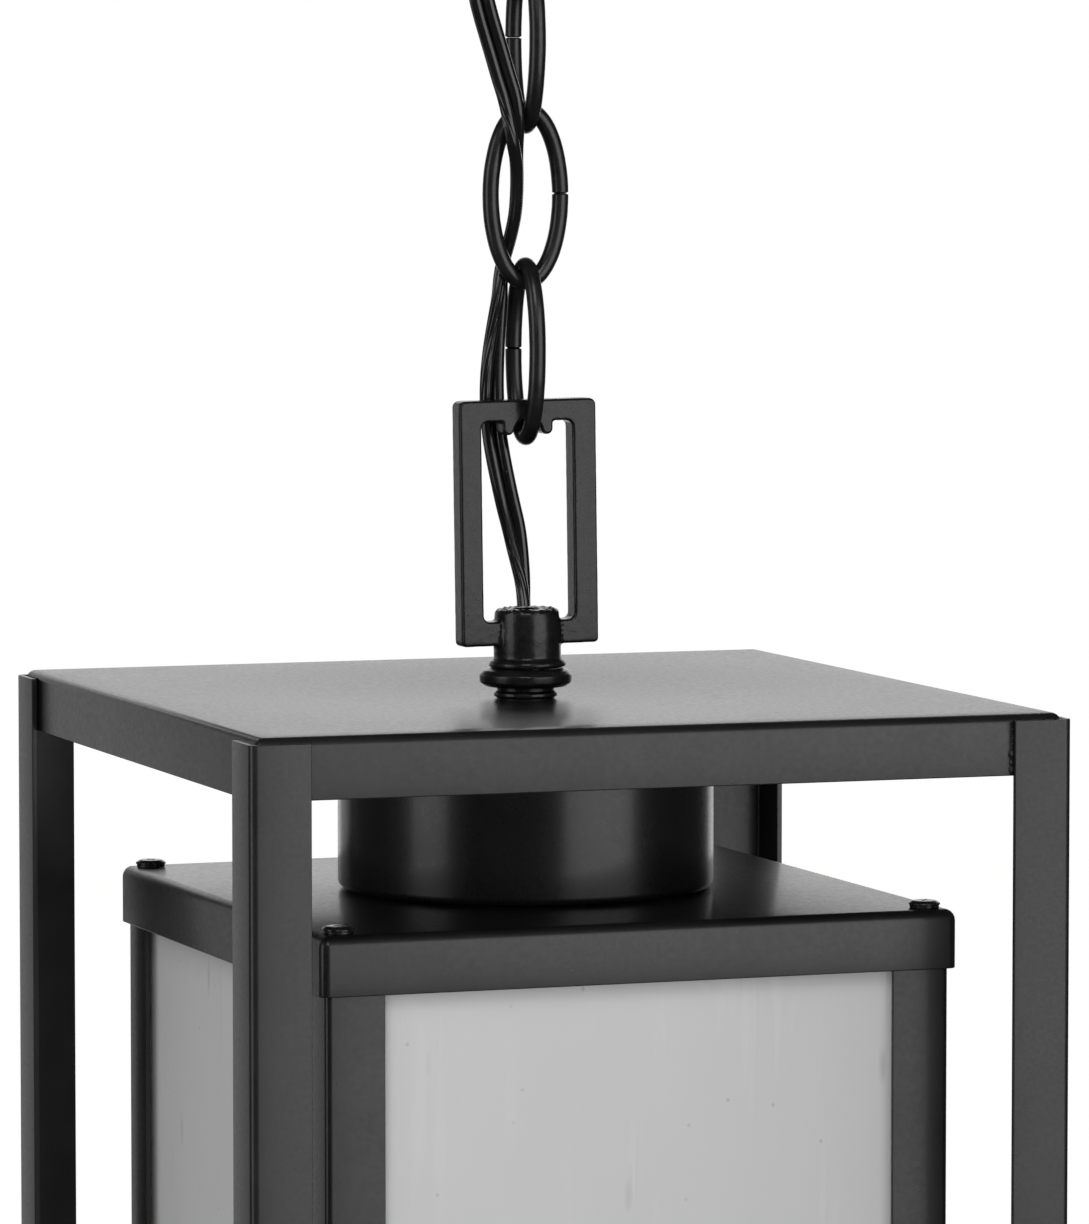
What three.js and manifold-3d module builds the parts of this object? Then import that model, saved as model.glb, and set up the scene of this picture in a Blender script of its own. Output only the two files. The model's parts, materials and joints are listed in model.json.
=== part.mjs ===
// A hanging lantern: an open square frame round a smaller glass lantern, hung from a
// ceiling canopy on three chain links, with a flat twin cord threaded through the chain.
// Millimetres, +Z up. The origin is the middle of the canopy where it meets the ceiling.
// The front is towards -Y. Most heights of the lantern are measured from its top plate.

import * as THREE from 'three';
import { mergeVertices } from 'three/addons/utils/BufferGeometryUtils.js';
import Module from 'manifold-3d';

const wasm = await Module();
wasm.setup();

// ---------------------------------------------------------------- driving dimensions

const GAP = 0.3; // clearance between pieces that touch

// Outer frame
const FRAME_HALF = 100; // outer faces of the corner posts
const FRAME_HEIGHT = 380;
const ANGLE_LEG = 14.4; // leg of the folded angle that the frame is made of
const FRAME_SHEET = 1.4;
const BEND_RADIUS = 1.8;
const POST_DROP = 1.4; // post tops below the top plate
const PLATE_HALF = FRAME_HALF - FRAME_SHEET - GAP;

// Stem and ceiling stack
const STEM_RADIUS = 4.85; // threaded tube
const STEM_BORE = 3.2;
const STEM_HOLE = STEM_RADIUS + GAP; // every hole that the tube passes through
const SEAT_RADIUS = 7.7;
const SEAT_TOP = 1.2;
const COLLAR_RADIUS = 11.15;
const COLLAR_BOTTOM = SEAT_TOP + GAP;
const COLLAR_TOP = 5.6;
const COLLAR_ROUND = 1.6;
const STEM_IN_HUB = 14.7; // how far the tube goes up into a loop's hub
const NUT = { cornerRadius: 8, height: 4 };
const OVERCUT = 1; // how far a cutting tool reaches past the faces that it cuts

// Cast loop, one on the lantern and one, upside down, on the canopy
const LOOP_HALF = 17.4;
const LOOP_THICKNESS = 6;
const LOOP_BOTTOM = 10.7;
const LOOP_TOP = 70.3;
const WINDOW_HALF = 11.9;
const WINDOW_BOTTOM = 17;
const WINDOW_TOP = 65.1;
const NOTCH_RADIUS = 3.3; // half-round seat for the link, under the top bar
const NOTCH_CENTRE = 62;
const NOTCH_APEX = NOTCH_CENTRE + NOTCH_RADIUS;
const NUB_WIDTH = 2.9;
const NUB_BOTTOM = 62.3;
const HUB_RADIUS = 8.15;
const HUB_FOOT_RADIUS = 9.2;
const HUB_BOTTOM = COLLAR_TOP + GAP;
const HUB_FOOT_TOP = 7.9;
const HUB_TOP = 20;
const HUB_FLARE = 0.6; // height of the slope from the foot to the hub
const HUB_RIM = 1.2; // chamfer round the hub's top
const LOOP_TOP_ROUND = 2.6;
const LOOP_FOOT_ROUND = 1.5;
const LOOP_CHAMFER = 0.5;
const WINDOW_ROUND = 1.6;

// Chain
const WIRE = 3.8;
const LINK_LENGTH = 45.3;
const LINK_WIDTH = 21.7;
const LINK_SPLIT = 0.7; // butt gap of each link
const LINK_SIDES = 8;
const LINK_STEPS = 36;
const LINK_RISE = (LINK_LENGTH - WIRE) / 2; // link centre to the middle of its end wire
const LINK_PITCH = LINK_LENGTH - 2 * WIRE - GAP;
const HANG = 4.2; // notch apex to the middle of the link's wire

// Canopy and its crossbar
const CANOPY_RADIUS = 63.5;
const CANOPY_HEIGHT = 20;
const CANOPY_SHEET = 1.2;
const CANOPY_BEND = 6;
const CROSSBAR = { length: 104, width: 16, thickness: 2, screwAt: 24 };
const SLOT = { at: 41.3, length: 10, width: 4.6 };
const GROUND_HEAD = { radius: 4, faceRadius: 3.2, rim: 1.2, height: 2.2 };

// Spacer drum between the top plate and the glass lantern
const DRUM_RADIUS = 45.45;
const DRUM_BOTTOM = -47.4;
const DRUM_WALL = 1;
const DRUM_EDGE = 2;

// Glass lantern inside the frame
const CAGE_TURN = THREE.MathUtils.degToRad(0.9); // it sits slightly turned in the frame
const CAP_HALF = 78.4;
const CAP_TOP = DRUM_BOTTOM - GAP;
const CAP_HEIGHT = 14;
const CAGE_SHEET = 1;
const CAGE_BEND = 2;
const CAGE_HALF = 76.8; // outer faces of the corner angles
const CAGE_LEG = 13.5;
const CAGE_POST_BEND = 1.5;
const CAGE_BOTTOM = -358;
const BASE_OPENING = 58;
const TOP_FRAME = { outer: 75.5, opening: 52, thickness: 1.6 };
const GLASS_FACE = 74.1;
const GLASS_THICKNESS = 3;
const GLASS_HALF = 70.6;

// Cap screws
const SCREW_AT = 72.4;
const SCREW_HEAD = { radius: 3.7, rimRadius: 3.5, crownRadius: 2.5, height: 1.9 };
const SCREW_HEAD_LEVELS = { underside: 0.9, rim: 1.5, crown: 1.8 }; // above the seat
const SCREW_NECK = { radius: 3.1, height: 0.6 };
const SCREW_RADIUS = 2;
const SCREW_HOLE = SCREW_RADIUS + GAP;

// Lamp socket: depths are below its top
const WASHER = { radius: 7.5, thickness: 0.8 };
const SOCKET_RADIUS = 19;
const SOCKET_BORE = 14.2;
const SOCKET_BOTTOM = -112;
const SOCKET_CAP = { sheet: 1, crownRadius: 12, shoulderDepth: 5.6, skirtDepth: 13.6 };
const SOCKET_BODY = { topDepth: 7.1, floorDepth: 15.1, ridge: 6, taper: 2 };
const STEM_IN_SOCKET = 4;
const SHELL = { radius: 13.7, wall: 0.6, rise: 0.5, topDepth: 18, inset: 1.5, rings: 7 };
const CONTACT = { radius: 6, buttonRadius: 3, faceRadius: 2.4, sheet: 1, height: 3 };

// Cord
const CORD_RADIUS = 2.1; // round tube of about the flat cord's area
const CORD_SIDES = 8;

// Round work
const ROUND = 32; // sides of a large turned piece
const MIDDLE_ROUND = 24;
const SMALL_ROUND = 16;

// Heights that follow from the chain, measured from the ceiling
const NOTCH_LEVEL = -(CANOPY_HEIGHT + NOTCH_APEX);
const LINK_TOP_Z = NOTCH_LEVEL + HANG - LINK_RISE;
const LINK_MIDDLE_Z = LINK_TOP_Z - LINK_PITCH;
const LINK_BOTTOM_Z = LINK_MIDDLE_Z - LINK_PITCH;
const PLATE_Z = LINK_BOTTOM_Z - LINK_RISE - (NOTCH_APEX - HANG);

// ---------------------------------------------------------------- materials

function finish(name, color, roughness, metalness) {
  return new THREE.MeshStandardMaterial({ name, color, roughness, metalness });
}

const powderCoat = finish('black powder coat', 0x1b1b1c, 0.55, 0.3);
const castBlack = finish('black cast metal', 0x141415, 0.4, 0.3);
const chainBlack = finish('black chain', 0x111112, 0.35, 0.3);
const screwBlack = finish('black screw', 0x0d0d0e, 0.25, 0.5);
const cordBlack = finish('black cord', 0x0f0f10, 0.35, 0);
const etchedGlass = finish('etched glass', 0xc4c5c4, 0.7, 0);
const zincSteel = finish('zinc plated steel', 0xb4b6b8, 0.4, 0.9);
const greenSteel = finish('green steel', 0x1f6b35, 0.5, 0.4);
const brass = finish('brass', 0xc29a4a, 0.35, 0.9);
const porcelain = finish('porcelain', 0xe9e6df, 0.3, 0);

// ---------------------------------------------------------------- closed meshes

// Merges a geometry's vertices, drops triangles without area and turns its faces outward.
function closed(geometry) {
  const bare = geometry.index ? geometry.toNonIndexed() : geometry.clone();
  bare.deleteAttribute('normal');
  bare.deleteAttribute('uv');
  const merged = mergeVertices(bare, 1e-4);
  const index = merged.index.array;
  const corner = (i) => new THREE.Vector3().fromBufferAttribute(merged.attributes.position, i);
  const kept = [];
  let volume = 0;
  for (let i = 0; i < index.length; i += 3) {
    const [a, b, c] = [index[i], index[i + 1], index[i + 2]];
    if (a === b || b === c || c === a) continue;
    kept.push(a, b, c);
    volume += corner(a).dot(corner(b).cross(corner(c)));
  }
  if (volume < 0) {
    for (let i = 0; i < kept.length; i += 3) {
      [kept[i], kept[i + 1]] = [kept[i + 1], kept[i]];
    }
  }
  merged.setIndex(kept);
  return merged;
}

function toSolid(geometry) {
  const mesh = closed(geometry);
  const vertProperties = new Float32Array(mesh.attributes.position.array);
  const triVerts = new Uint32Array(mesh.index.array);
  return new wasm.Manifold(new wasm.Mesh({ numProp: 3, vertProperties, triVerts }));
}

function toGeometry(solid) {
  const mesh = solid.getMesh();
  const geometry = new THREE.BufferGeometry();
  geometry.setAttribute('position', new THREE.BufferAttribute(mesh.vertProperties, 3));
  geometry.setIndex(new THREE.BufferAttribute(mesh.triVerts, 1));
  return geometry;
}

// One piece with holes or sockets cut out of it.
function cut(base, tools) {
  return toGeometry(tools.reduce((left, tool) => left.subtract(toSolid(tool)), toSolid(base)));
}

function piece(name, geometry, material) {
  const shape = closed(geometry).toNonIndexed();
  shape.computeVertexNormals();
  const mesh = new THREE.Mesh(shape, material);
  mesh.name = name;
  return mesh;
}

// ---------------------------------------------------------------- shape helpers

// Turns a profile of [radius, height] points about the Z axis. A profile that doesn't
// start and end on the axis is closed on itself.
function turned(profile, sides = ROUND, start = 0) {
  const points = profile.map(([r, z]) => new THREE.Vector2(r, z));
  if (profile[0][0] > 0) points.push(points[0].clone());
  return new THREE.LatheGeometry(points, sides, start).rotateX(Math.PI / 2);
}

// The same, for a square piece: the first number of each point is half its width.
function squareTurned(profile) {
  const corners = profile.map(([half, z]) => [half * Math.SQRT2, z]);
  return turned(corners, 4, Math.PI / 4);
}

// Points of a quarter round from one angle to another, in degrees.
function arc(x, z, radius, from, to, steps = 4) {
  return Array.from({ length: steps + 1 }, (_, i) => {
    const angle = THREE.MathUtils.degToRad(from + ((to - from) * i) / steps);
    return [x + radius * Math.cos(angle), z + radius * Math.sin(angle)];
  });
}

function rod(radius, bottom, top, sides = SMALL_ROUND) {
  return turned([[0, bottom], [radius, bottom], [radius, top], [0, top]], sides);
}

function tube(radius, bore, bottom, top, sides = SMALL_ROUND) {
  return turned([[bore, bottom], [radius, bottom], [radius, top], [bore, top]], sides);
}

function box(width, depth, bottom, top) {
  return new THREE.BoxGeometry(width, depth, top - bottom).translate(0, 0, (bottom + top) / 2);
}

function extrude(shape, depth) {
  return new THREE.ExtrudeGeometry(shape, { depth, bevelEnabled: false, curveSegments: 4 });
}

// Section of a folded angle: its bend is at the origin and its legs run along +X and +Y.
function angleSection(leg, sheet, bend) {
  const shape = new THREE.Shape();
  shape.moveTo(leg, 0);
  shape.lineTo(leg, sheet);
  shape.lineTo(bend, sheet);
  shape.absarc(bend, bend, bend - sheet, -Math.PI / 2, -Math.PI, true);
  shape.lineTo(sheet, leg);
  shape.lineTo(0, leg);
  shape.lineTo(0, bend);
  shape.absarc(bend, bend, bend, Math.PI, Math.PI * 1.5, false);
  return shape;
}

// A shallow square pan of folded sheet with its open side down: the flat is at `top`.
function panProfile(half, top, height, sheet, bend, opening) {
  const inner = Math.max(bend - sheet, 0.4);
  const outside = arc(half - bend, top - bend, bend, 0, 90, 3);
  const inside = arc(half - sheet - inner, top - sheet - inner, inner, 90, 0, 2);
  return [
    [half - sheet, top - height],
    [half, top - height],
    ...outside,
    [opening, top],
    [opening, top - sheet],
    ...inside,
  ];
}

function onFourSides(make) {
  return [0, 1, 2, 3].map((quarter) => {
    const mesh = make(quarter);
    mesh.rotation.z = (quarter * Math.PI) / 2;
    return mesh;
  });
}

const CORNERS = ['front_left', 'front_right', 'back_right', 'back_left'];
const SIDES = ['front', 'right', 'back', 'left'];

// ---------------------------------------------------------------- cast loop and stem

// The window of the loop, with the two nubs that keep the link in its seat.
function windowPath() {
  const corner = WINDOW_ROUND;
  const seat = Math.asin((NUB_BOTTOM + NUB_WIDTH / 2 - NOTCH_CENTRE) / NOTCH_RADIUS);
  const nubInner = NOTCH_RADIUS * Math.cos(seat);
  const nubCentre = nubInner + NUB_WIDTH / 2;
  const nubLevel = NUB_BOTTOM + NUB_WIDTH / 2;
  const path = new THREE.Path();
  path.moveTo(-WINDOW_HALF + corner, WINDOW_BOTTOM);
  path.lineTo(WINDOW_HALF - corner, WINDOW_BOTTOM);
  path.absarc(WINDOW_HALF - corner, WINDOW_BOTTOM + corner, corner, -Math.PI / 2, 0);
  path.absarc(WINDOW_HALF - corner, WINDOW_TOP - corner, corner, 0, Math.PI / 2);
  path.lineTo(nubCentre + NUB_WIDTH / 2, WINDOW_TOP);
  path.absarc(nubCentre, nubLevel, NUB_WIDTH / 2, 0, -Math.PI, true);
  path.absarc(0, NOTCH_CENTRE, NOTCH_RADIUS, seat, Math.PI - seat);
  path.absarc(-nubCentre, nubLevel, NUB_WIDTH / 2, 0, -Math.PI, true);
  path.lineTo(-nubCentre - NUB_WIDTH / 2, WINDOW_TOP);
  path.absarc(-WINDOW_HALF + corner, WINDOW_TOP - corner, corner, Math.PI / 2, Math.PI);
  path.absarc(-WINDOW_HALF + corner, WINDOW_BOTTOM + corner, corner, Math.PI, Math.PI * 1.5);
  return path;
}

function loopGeometry() {
  const round = LOOP_TOP_ROUND;
  const foot = LOOP_FOOT_ROUND;
  const chamfer = LOOP_CHAMFER;
  const left = -LOOP_HALF;
  const outline = new THREE.Shape();
  outline.moveTo(left + foot, LOOP_BOTTOM);
  outline.lineTo(LOOP_HALF - foot, LOOP_BOTTOM);
  outline.absarc(LOOP_HALF - foot, LOOP_BOTTOM + foot, foot, -Math.PI / 2, 0);
  outline.absarc(LOOP_HALF - round, LOOP_TOP - round, round, 0, Math.PI / 2);
  outline.absarc(left + round, LOOP_TOP - round, round, Math.PI / 2, Math.PI);
  outline.absarc(left + foot, LOOP_BOTTOM + foot, foot, Math.PI, Math.PI * 1.5);
  outline.holes.push(windowPath());
  const bar = new THREE.ExtrudeGeometry(outline, {
    depth: LOOP_THICKNESS - 2 * chamfer,
    bevelEnabled: true,
    bevelThickness: chamfer,
    bevelSize: chamfer,
    bevelOffset: -chamfer,
    bevelSegments: 1,
    curveSegments: 3,
  });
  bar.rotateX(Math.PI / 2).translate(0, LOOP_THICKNESS / 2 - chamfer, 0);
  const hub = turned([
    [0, HUB_BOTTOM],
    [HUB_FOOT_RADIUS, HUB_BOTTOM],
    [HUB_FOOT_RADIUS, HUB_FOOT_TOP],
    [HUB_RADIUS, HUB_FOOT_TOP + HUB_FLARE],
    [HUB_RADIUS, HUB_TOP - HUB_RIM],
    [HUB_RADIUS - HUB_RIM, HUB_TOP],
    [0, HUB_TOP],
  ], MIDDLE_ROUND);
  const joined = toGeometry(toSolid(bar).add(toSolid(hub)));
  return cut(joined, [
    rod(STEM_HOLE, HUB_BOTTOM - OVERCUT, STEM_IN_HUB + GAP),
    rod(STEM_BORE, HUB_BOTTOM - OVERCUT, HUB_TOP + OVERCUT),
  ]);
}

function collarGeometry() {
  const round = COLLAR_ROUND;
  return turned([
    [STEM_HOLE, COLLAR_BOTTOM],
    ...arc(COLLAR_RADIUS - round, COLLAR_BOTTOM + round, round, -90, 0, 2),
    ...arc(COLLAR_RADIUS - round, COLLAR_TOP - round, round, 0, 90, 2),
    [STEM_HOLE, COLLAR_TOP],
  ], MIDDLE_ROUND);
}

function hexNut(top) {
  const bottom = top - NUT.height;
  const hole = rod(STEM_HOLE, bottom - OVERCUT, top + OVERCUT);
  return cut(rod(NUT.cornerRadius, bottom, top, 6), [hole]);
}

// ---------------------------------------------------------------- ceiling side

function canopyGeometry() {
  const outer = CANOPY_RADIUS;
  const flat = -CANOPY_HEIGHT;
  const inner = CANOPY_BEND - CANOPY_SHEET;
  return turned([
    [STEM_HOLE, flat],
    ...arc(outer - CANOPY_BEND, flat + CANOPY_BEND, CANOPY_BEND, -90, 0, 3),
    [outer, 0],
    [outer - CANOPY_SHEET, 0],
    ...arc(outer - CANOPY_BEND, flat + CANOPY_BEND, inner, 0, -90, 3),
    [STEM_HOLE, flat + CANOPY_SHEET],
  ]);
}

function crossbarGeometry() {
  const { length, width, thickness, screwAt } = CROSSBAR;
  const below = -thickness - OVERCUT;
  const slot = (x) => box(SLOT.length, SLOT.width, below, OVERCUT).translate(x, 0, 0);
  return cut(box(length, width, -thickness, 0), [
    rod(STEM_HOLE, below, OVERCUT),
    rod(SCREW_HOLE, below, OVERCUT).translate(screwAt, 0, 0),
    slot(-SLOT.at),
    slot(SLOT.at),
  ]);
}

function groundScrewGeometry() {
  const seat = -CROSSBAR.thickness - GAP;
  const { radius, faceRadius, rim, height } = GROUND_HEAD;
  return turned([
    [0, seat - height],
    [faceRadius, seat - height],
    [radius, seat - rim],
    [radius, seat],
    [SCREW_RADIUS, seat],
    [SCREW_RADIUS, -GAP],
    [0, -GAP],
  ], SMALL_ROUND).translate(CROSSBAR.screwAt, 0, 0);
}

function ceilingMount() {
  const group = new THREE.Group();
  const nutTop = -CROSSBAR.thickness - GAP;
  const stemEnd = -(CANOPY_HEIGHT + STEM_IN_HUB);
  group.add(
    piece('crossbar', crossbarGeometry(), zincSteel),
    piece('ground_screw', groundScrewGeometry(), greenSteel),
    piece('canopy_stem', tube(STEM_RADIUS, STEM_BORE, stemEnd, 0), zincSteel),
    piece('crossbar_nut', hexNut(nutTop), zincSteel),
    piece('canopy', canopyGeometry(), powderCoat),
  );
  const hanging = new THREE.Group();
  hanging.position.z = -CANOPY_HEIGHT;
  hanging.rotation.x = Math.PI;
  hanging.add(
    piece('canopy_collar', collarGeometry(), castBlack),
    piece('canopy_loop', loopGeometry(), castBlack),
  );
  group.add(hanging);
  return group;
}

// ---------------------------------------------------------------- chain

// Oval centre line of a link in the XZ plane, open at its split on the +X side.
class LinkLine extends THREE.Curve {
  getPoint(t, target = new THREE.Vector3()) {
    const split = LINK_SPLIT / 2 / LINK_RISE;
    const angle = split + t * (2 * Math.PI - 2 * split);
    const reach = (LINK_WIDTH - WIRE) / 2;
    return target.set(reach * Math.cos(angle), 0, LINK_RISE * Math.sin(angle));
  }
}

function roundSection(radius, sides) {
  const corners = Array.from({ length: sides }, (_, i) => {
    const angle = (2 * Math.PI * i) / sides;
    return new THREE.Vector2(radius * Math.cos(angle), radius * Math.sin(angle));
  });
  return new THREE.Shape(corners);
}

function sweep(path, radius, sides, steps) {
  return new THREE.ExtrudeGeometry(roundSection(radius, sides), { extrudePath: path, steps });
}

function link(name, height, turn) {
  const mesh = piece(name, sweep(new LinkLine(), WIRE / 2, LINK_SIDES, LINK_STEPS), chainBlack);
  mesh.position.z = height;
  mesh.rotation.z = turn;
  return mesh;
}

// ---------------------------------------------------------------- cord

// Route of the cord's middle from the lantern's hub to the canopy's, as
// [x, y, height above the top plate].
const CORD_ROUTE = [
  [-0.4, 0, 20.3], [-0.6, 0.4, 26], [-1.2, 1.3, 32], [-2.1, 2.5, 39], [-3.2, 3.7, 45],
  [-4.2, 4.8, 51], [-5.1, 5.8, 57], [-5.8, 6.5, 63], [-6.2, 6.8, 70], [-6.1, 6.8, 77],
  [-5.6, 6.6, 84], [-5.1, 6, 90], [-4.7, 5.4, 95], [-4.5, 5.2, 99.5], [-4, 5, 103],
  [-3.1, 4, 107], [-2.5, 2.6, 111], [-2.2, 1.2, 115], [-2.25, 0, 119.25], [-2.6, -1.3, 124],
  [-3.3, -2.9, 128.7], [-4.2, -4.6, 133], [-4.9, -5.4, 138], [-5.9, -5.4, 143],
  [-7.45, -5.3, 148], [-9, -5.4, 153], [-10.6, -5.7, 157.8], [-12.2, -6.1, 162.6],
  [-13.5, -6.4, 167.5], [-14, -6.6, 173], [-13.2, -6.6, 179], [-11.2, -6.4, 185],
  [-8.6, -5.9, 191], [-6, -4.8, 197], [-3.6, -3.2, 203], [-1.7, -1.6, 209],
  [-0.6, -0.4, 214], [-0.3, 0, 218.2],
];

const cordLine = new THREE.CatmullRomCurve3(
  CORD_ROUTE.map(([x, y, z]) => new THREE.Vector3(x, y, PLATE_Z + z)),
);

// The curve's parameter at a height, found by halving: the route only ever climbs.
function cordParameter(height) {
  let low = 0;
  let high = 1;
  for (let i = 0; i < 40; i += 1) {
    const middle = (low + high) / 2;
    if (cordLine.getPoint(middle).z < height) low = middle;
    else high = middle;
  }
  return low;
}

class CordStretch extends THREE.Curve {
  constructor(bottom, top) {
    super();
    this.from = cordParameter(bottom);
    this.to = cordParameter(top);
  }

  getPoint(t, target = new THREE.Vector3()) {
    return cordLine.getPoint(this.from + t * (this.to - this.from), target);
  }
}

function cordPiece(name, bottom, top) {
  const steps = Math.ceil((top - bottom) / (2 * CORD_RADIUS));
  const path = new CordStretch(bottom, top);
  return piece(name, sweep(path, CORD_RADIUS, CORD_SIDES, steps), cordBlack);
}

// The cord is in four stretches that meet at the middle of each link.
function cord() {
  const group = new THREE.Group();
  const lowest = CORD_ROUTE[0][2] + PLATE_Z;
  const highest = CORD_ROUTE.at(-1)[2] + PLATE_Z;
  const cuts = [lowest, LINK_BOTTOM_Z, LINK_MIDDLE_Z, LINK_TOP_Z, highest];
  const names = ['cord_at_lantern', 'cord_lower', 'cord_upper', 'cord_at_canopy'];
  names.forEach((name, i) => {
    group.add(cordPiece(name, cuts[i] + GAP / 2, cuts[i + 1] - GAP / 2));
  });
  return group;
}

// ---------------------------------------------------------------- outer frame

function topPlateGeometry() {
  const profile = panProfile(PLATE_HALF, 0, ANGLE_LEG, FRAME_SHEET, BEND_RADIUS, 1);
  const plate = squareTurned(profile);
  return cut(plate, [rod(STEM_HOLE, -FRAME_SHEET - OVERCUT, OVERCUT)]);
}

function outerPost(quarter) {
  const section = angleSection(ANGLE_LEG, FRAME_SHEET, BEND_RADIUS);
  const length = FRAME_HEIGHT - POST_DROP;
  const geometry = extrude(section, length).translate(-FRAME_HALF, -FRAME_HALF, -FRAME_HEIGHT);
  return piece(`outer_post_${CORNERS[quarter]}`, geometry, powderCoat);
}

// Bottom rails of the same angle: the front and back ones run the full width inside the
// posts, and the side ones fit between them.
function bottomRail(quarter) {
  const full = PLATE_HALF;
  const half = quarter % 2 === 0 ? full : full - ANGLE_LEG - GAP;
  const section = angleSection(ANGLE_LEG, FRAME_SHEET, BEND_RADIUS);
  const inward = new THREE.Vector3(0, 1, 0);
  const up = new THREE.Vector3(0, 0, 1);
  const along = new THREE.Vector3(1, 0, 0);
  const geometry = extrude(section, 2 * half);
  geometry.applyMatrix4(new THREE.Matrix4().makeBasis(inward, up, along));
  geometry.translate(-half, -full, -FRAME_HEIGHT);
  return piece(`bottom_rail_${SIDES[quarter]}`, geometry, powderCoat);
}

function drumGeometry() {
  const r = DRUM_RADIUS;
  const bottom = DRUM_BOTTOM;
  const top = -FRAME_SHEET - GAP;
  const middle = bottom + DRUM_EDGE;
  return turned([
    [STEM_HOLE, bottom],
    ...arc(r - DRUM_EDGE, middle, DRUM_EDGE, -90, 0, 2),
    [r, top],
    [r - DRUM_WALL, top],
    ...arc(r - DRUM_EDGE, middle, DRUM_EDGE - DRUM_WALL, 0, -90, 2),
    [STEM_HOLE, bottom + DRUM_WALL],
  ]);
}

// ---------------------------------------------------------------- glass lantern

const TOP_FRAME_TOP = CAP_TOP - CAGE_SHEET - GAP;
const TOP_FRAME_BOTTOM = TOP_FRAME_TOP - TOP_FRAME.thickness;

function screwHoles(bottom, top) {
  const signs = [[-1, -1], [1, -1], [1, 1], [-1, 1]];
  return signs.map(([sx, sy]) => {
    const hole = rod(SCREW_HOLE, bottom - OVERCUT, top + OVERCUT);
    return hole.translate(sx * SCREW_AT, sy * SCREW_AT, 0);
  });
}

function capGeometry() {
  const profile = panProfile(CAP_HALF, CAP_TOP, CAP_HEIGHT, CAGE_SHEET, CAGE_BEND, 1);
  const underside = CAP_TOP - CAGE_SHEET;
  const stemHole = rod(STEM_HOLE + GAP, underside - OVERCUT, CAP_TOP + OVERCUT);
  return cut(squareTurned(profile), [stemHole, ...screwHoles(underside, CAP_TOP)]);
}

function capScrew(quarter) {
  const seat = CAP_TOP + GAP;
  const { underside, rim, crown } = SCREW_HEAD_LEVELS;
  const geometry = turned([
    [0, TOP_FRAME_BOTTOM],
    [SCREW_RADIUS, TOP_FRAME_BOTTOM],
    [SCREW_RADIUS, seat],
    [SCREW_NECK.radius, seat],
    [SCREW_NECK.radius, seat + SCREW_NECK.height],
    [SCREW_HEAD.radius, seat + underside],
    [SCREW_HEAD.rimRadius, seat + rim],
    [SCREW_HEAD.crownRadius, seat + crown],
    [0, seat + SCREW_HEAD.height],
  ], SMALL_ROUND).translate(-SCREW_AT, -SCREW_AT, 0);
  return piece(`cap_screw_${CORNERS[quarter]}`, geometry, screwBlack);
}

function topFrameGeometry() {
  const { outer, opening } = TOP_FRAME;
  const ring = squareTurned([
    [opening, TOP_FRAME_BOTTOM],
    [outer, TOP_FRAME_BOTTOM],
    [outer, TOP_FRAME_TOP],
    [opening, TOP_FRAME_TOP],
  ]);
  return cut(ring, screwHoles(TOP_FRAME_BOTTOM, TOP_FRAME_TOP));
}

function cagePost(quarter) {
  const section = angleSection(CAGE_LEG, CAGE_SHEET, CAGE_POST_BEND);
  const bottom = CAGE_BOTTOM + CAGE_SHEET + 2 * GAP;
  const top = CAP_TOP - CAGE_SHEET - 2 * GAP;
  const geometry = extrude(section, top - bottom).translate(-CAGE_HALF, -CAGE_HALF, bottom);
  return piece(`cage_post_${CORNERS[quarter]}`, geometry, powderCoat);
}

function glassPane(quarter) {
  const bottom = CAGE_BOTTOM + CAGE_SHEET + GAP;
  const top = TOP_FRAME_BOTTOM - GAP;
  const geometry = box(2 * GLASS_HALF, GLASS_THICKNESS, bottom, top);
  geometry.translate(0, -GLASS_FACE + GLASS_THICKNESS / 2, 0);
  return piece(`glass_${SIDES[quarter]}`, geometry, etchedGlass);
}

// The base is the cap's pan the other way up, with an opening to change the lamp through.
function baseGeometry() {
  const flat = CAGE_BOTTOM;
  const profile = panProfile(CAP_HALF, -flat, CAP_HEIGHT, CAGE_SHEET, CAGE_BEND, BASE_OPENING);
  return squareTurned(profile.map(([half, z]) => [half, -z]));
}

function glassLantern() {
  const group = new THREE.Group();
  group.rotation.z = CAGE_TURN;
  group.add(
    piece('cage_cap', capGeometry(), powderCoat),
    ...onFourSides(capScrew),
    piece('cage_top_frame', topFrameGeometry(), powderCoat),
    ...onFourSides(cagePost),
    ...onFourSides(glassPane),
    piece('cage_base', baseGeometry(), powderCoat),
  );
  return group;
}

// ---------------------------------------------------------------- lamp socket

const WASHER_TOP = CAP_TOP - CAGE_SHEET - GAP;
const WASHER_BOTTOM = WASHER_TOP - WASHER.thickness;
const STEM_NUT_TOP = WASHER_BOTTOM - GAP;
const SOCKET_TOP = STEM_NUT_TOP - NUT.height - GAP;
const SOCKET_SKIRT = SOCKET_TOP - SOCKET_CAP.skirtDepth;
const STEM_BOTTOM = SOCKET_TOP - STEM_IN_SOCKET;

function socketCapGeometry() {
  const { sheet, crownRadius, shoulderDepth } = SOCKET_CAP;
  const shoulder = SOCKET_TOP - shoulderDepth;
  return turned([
    [STEM_HOLE, SOCKET_TOP],
    [STEM_HOLE, SOCKET_TOP - sheet],
    [crownRadius - sheet / 2, SOCKET_TOP - sheet],
    [SOCKET_RADIUS - sheet, shoulder - sheet / 2],
    [SOCKET_RADIUS - sheet, SOCKET_SKIRT],
    [SOCKET_RADIUS, SOCKET_SKIRT],
    [SOCKET_RADIUS, shoulder],
    [crownRadius, SOCKET_TOP],
  ], MIDDLE_ROUND);
}

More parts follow.
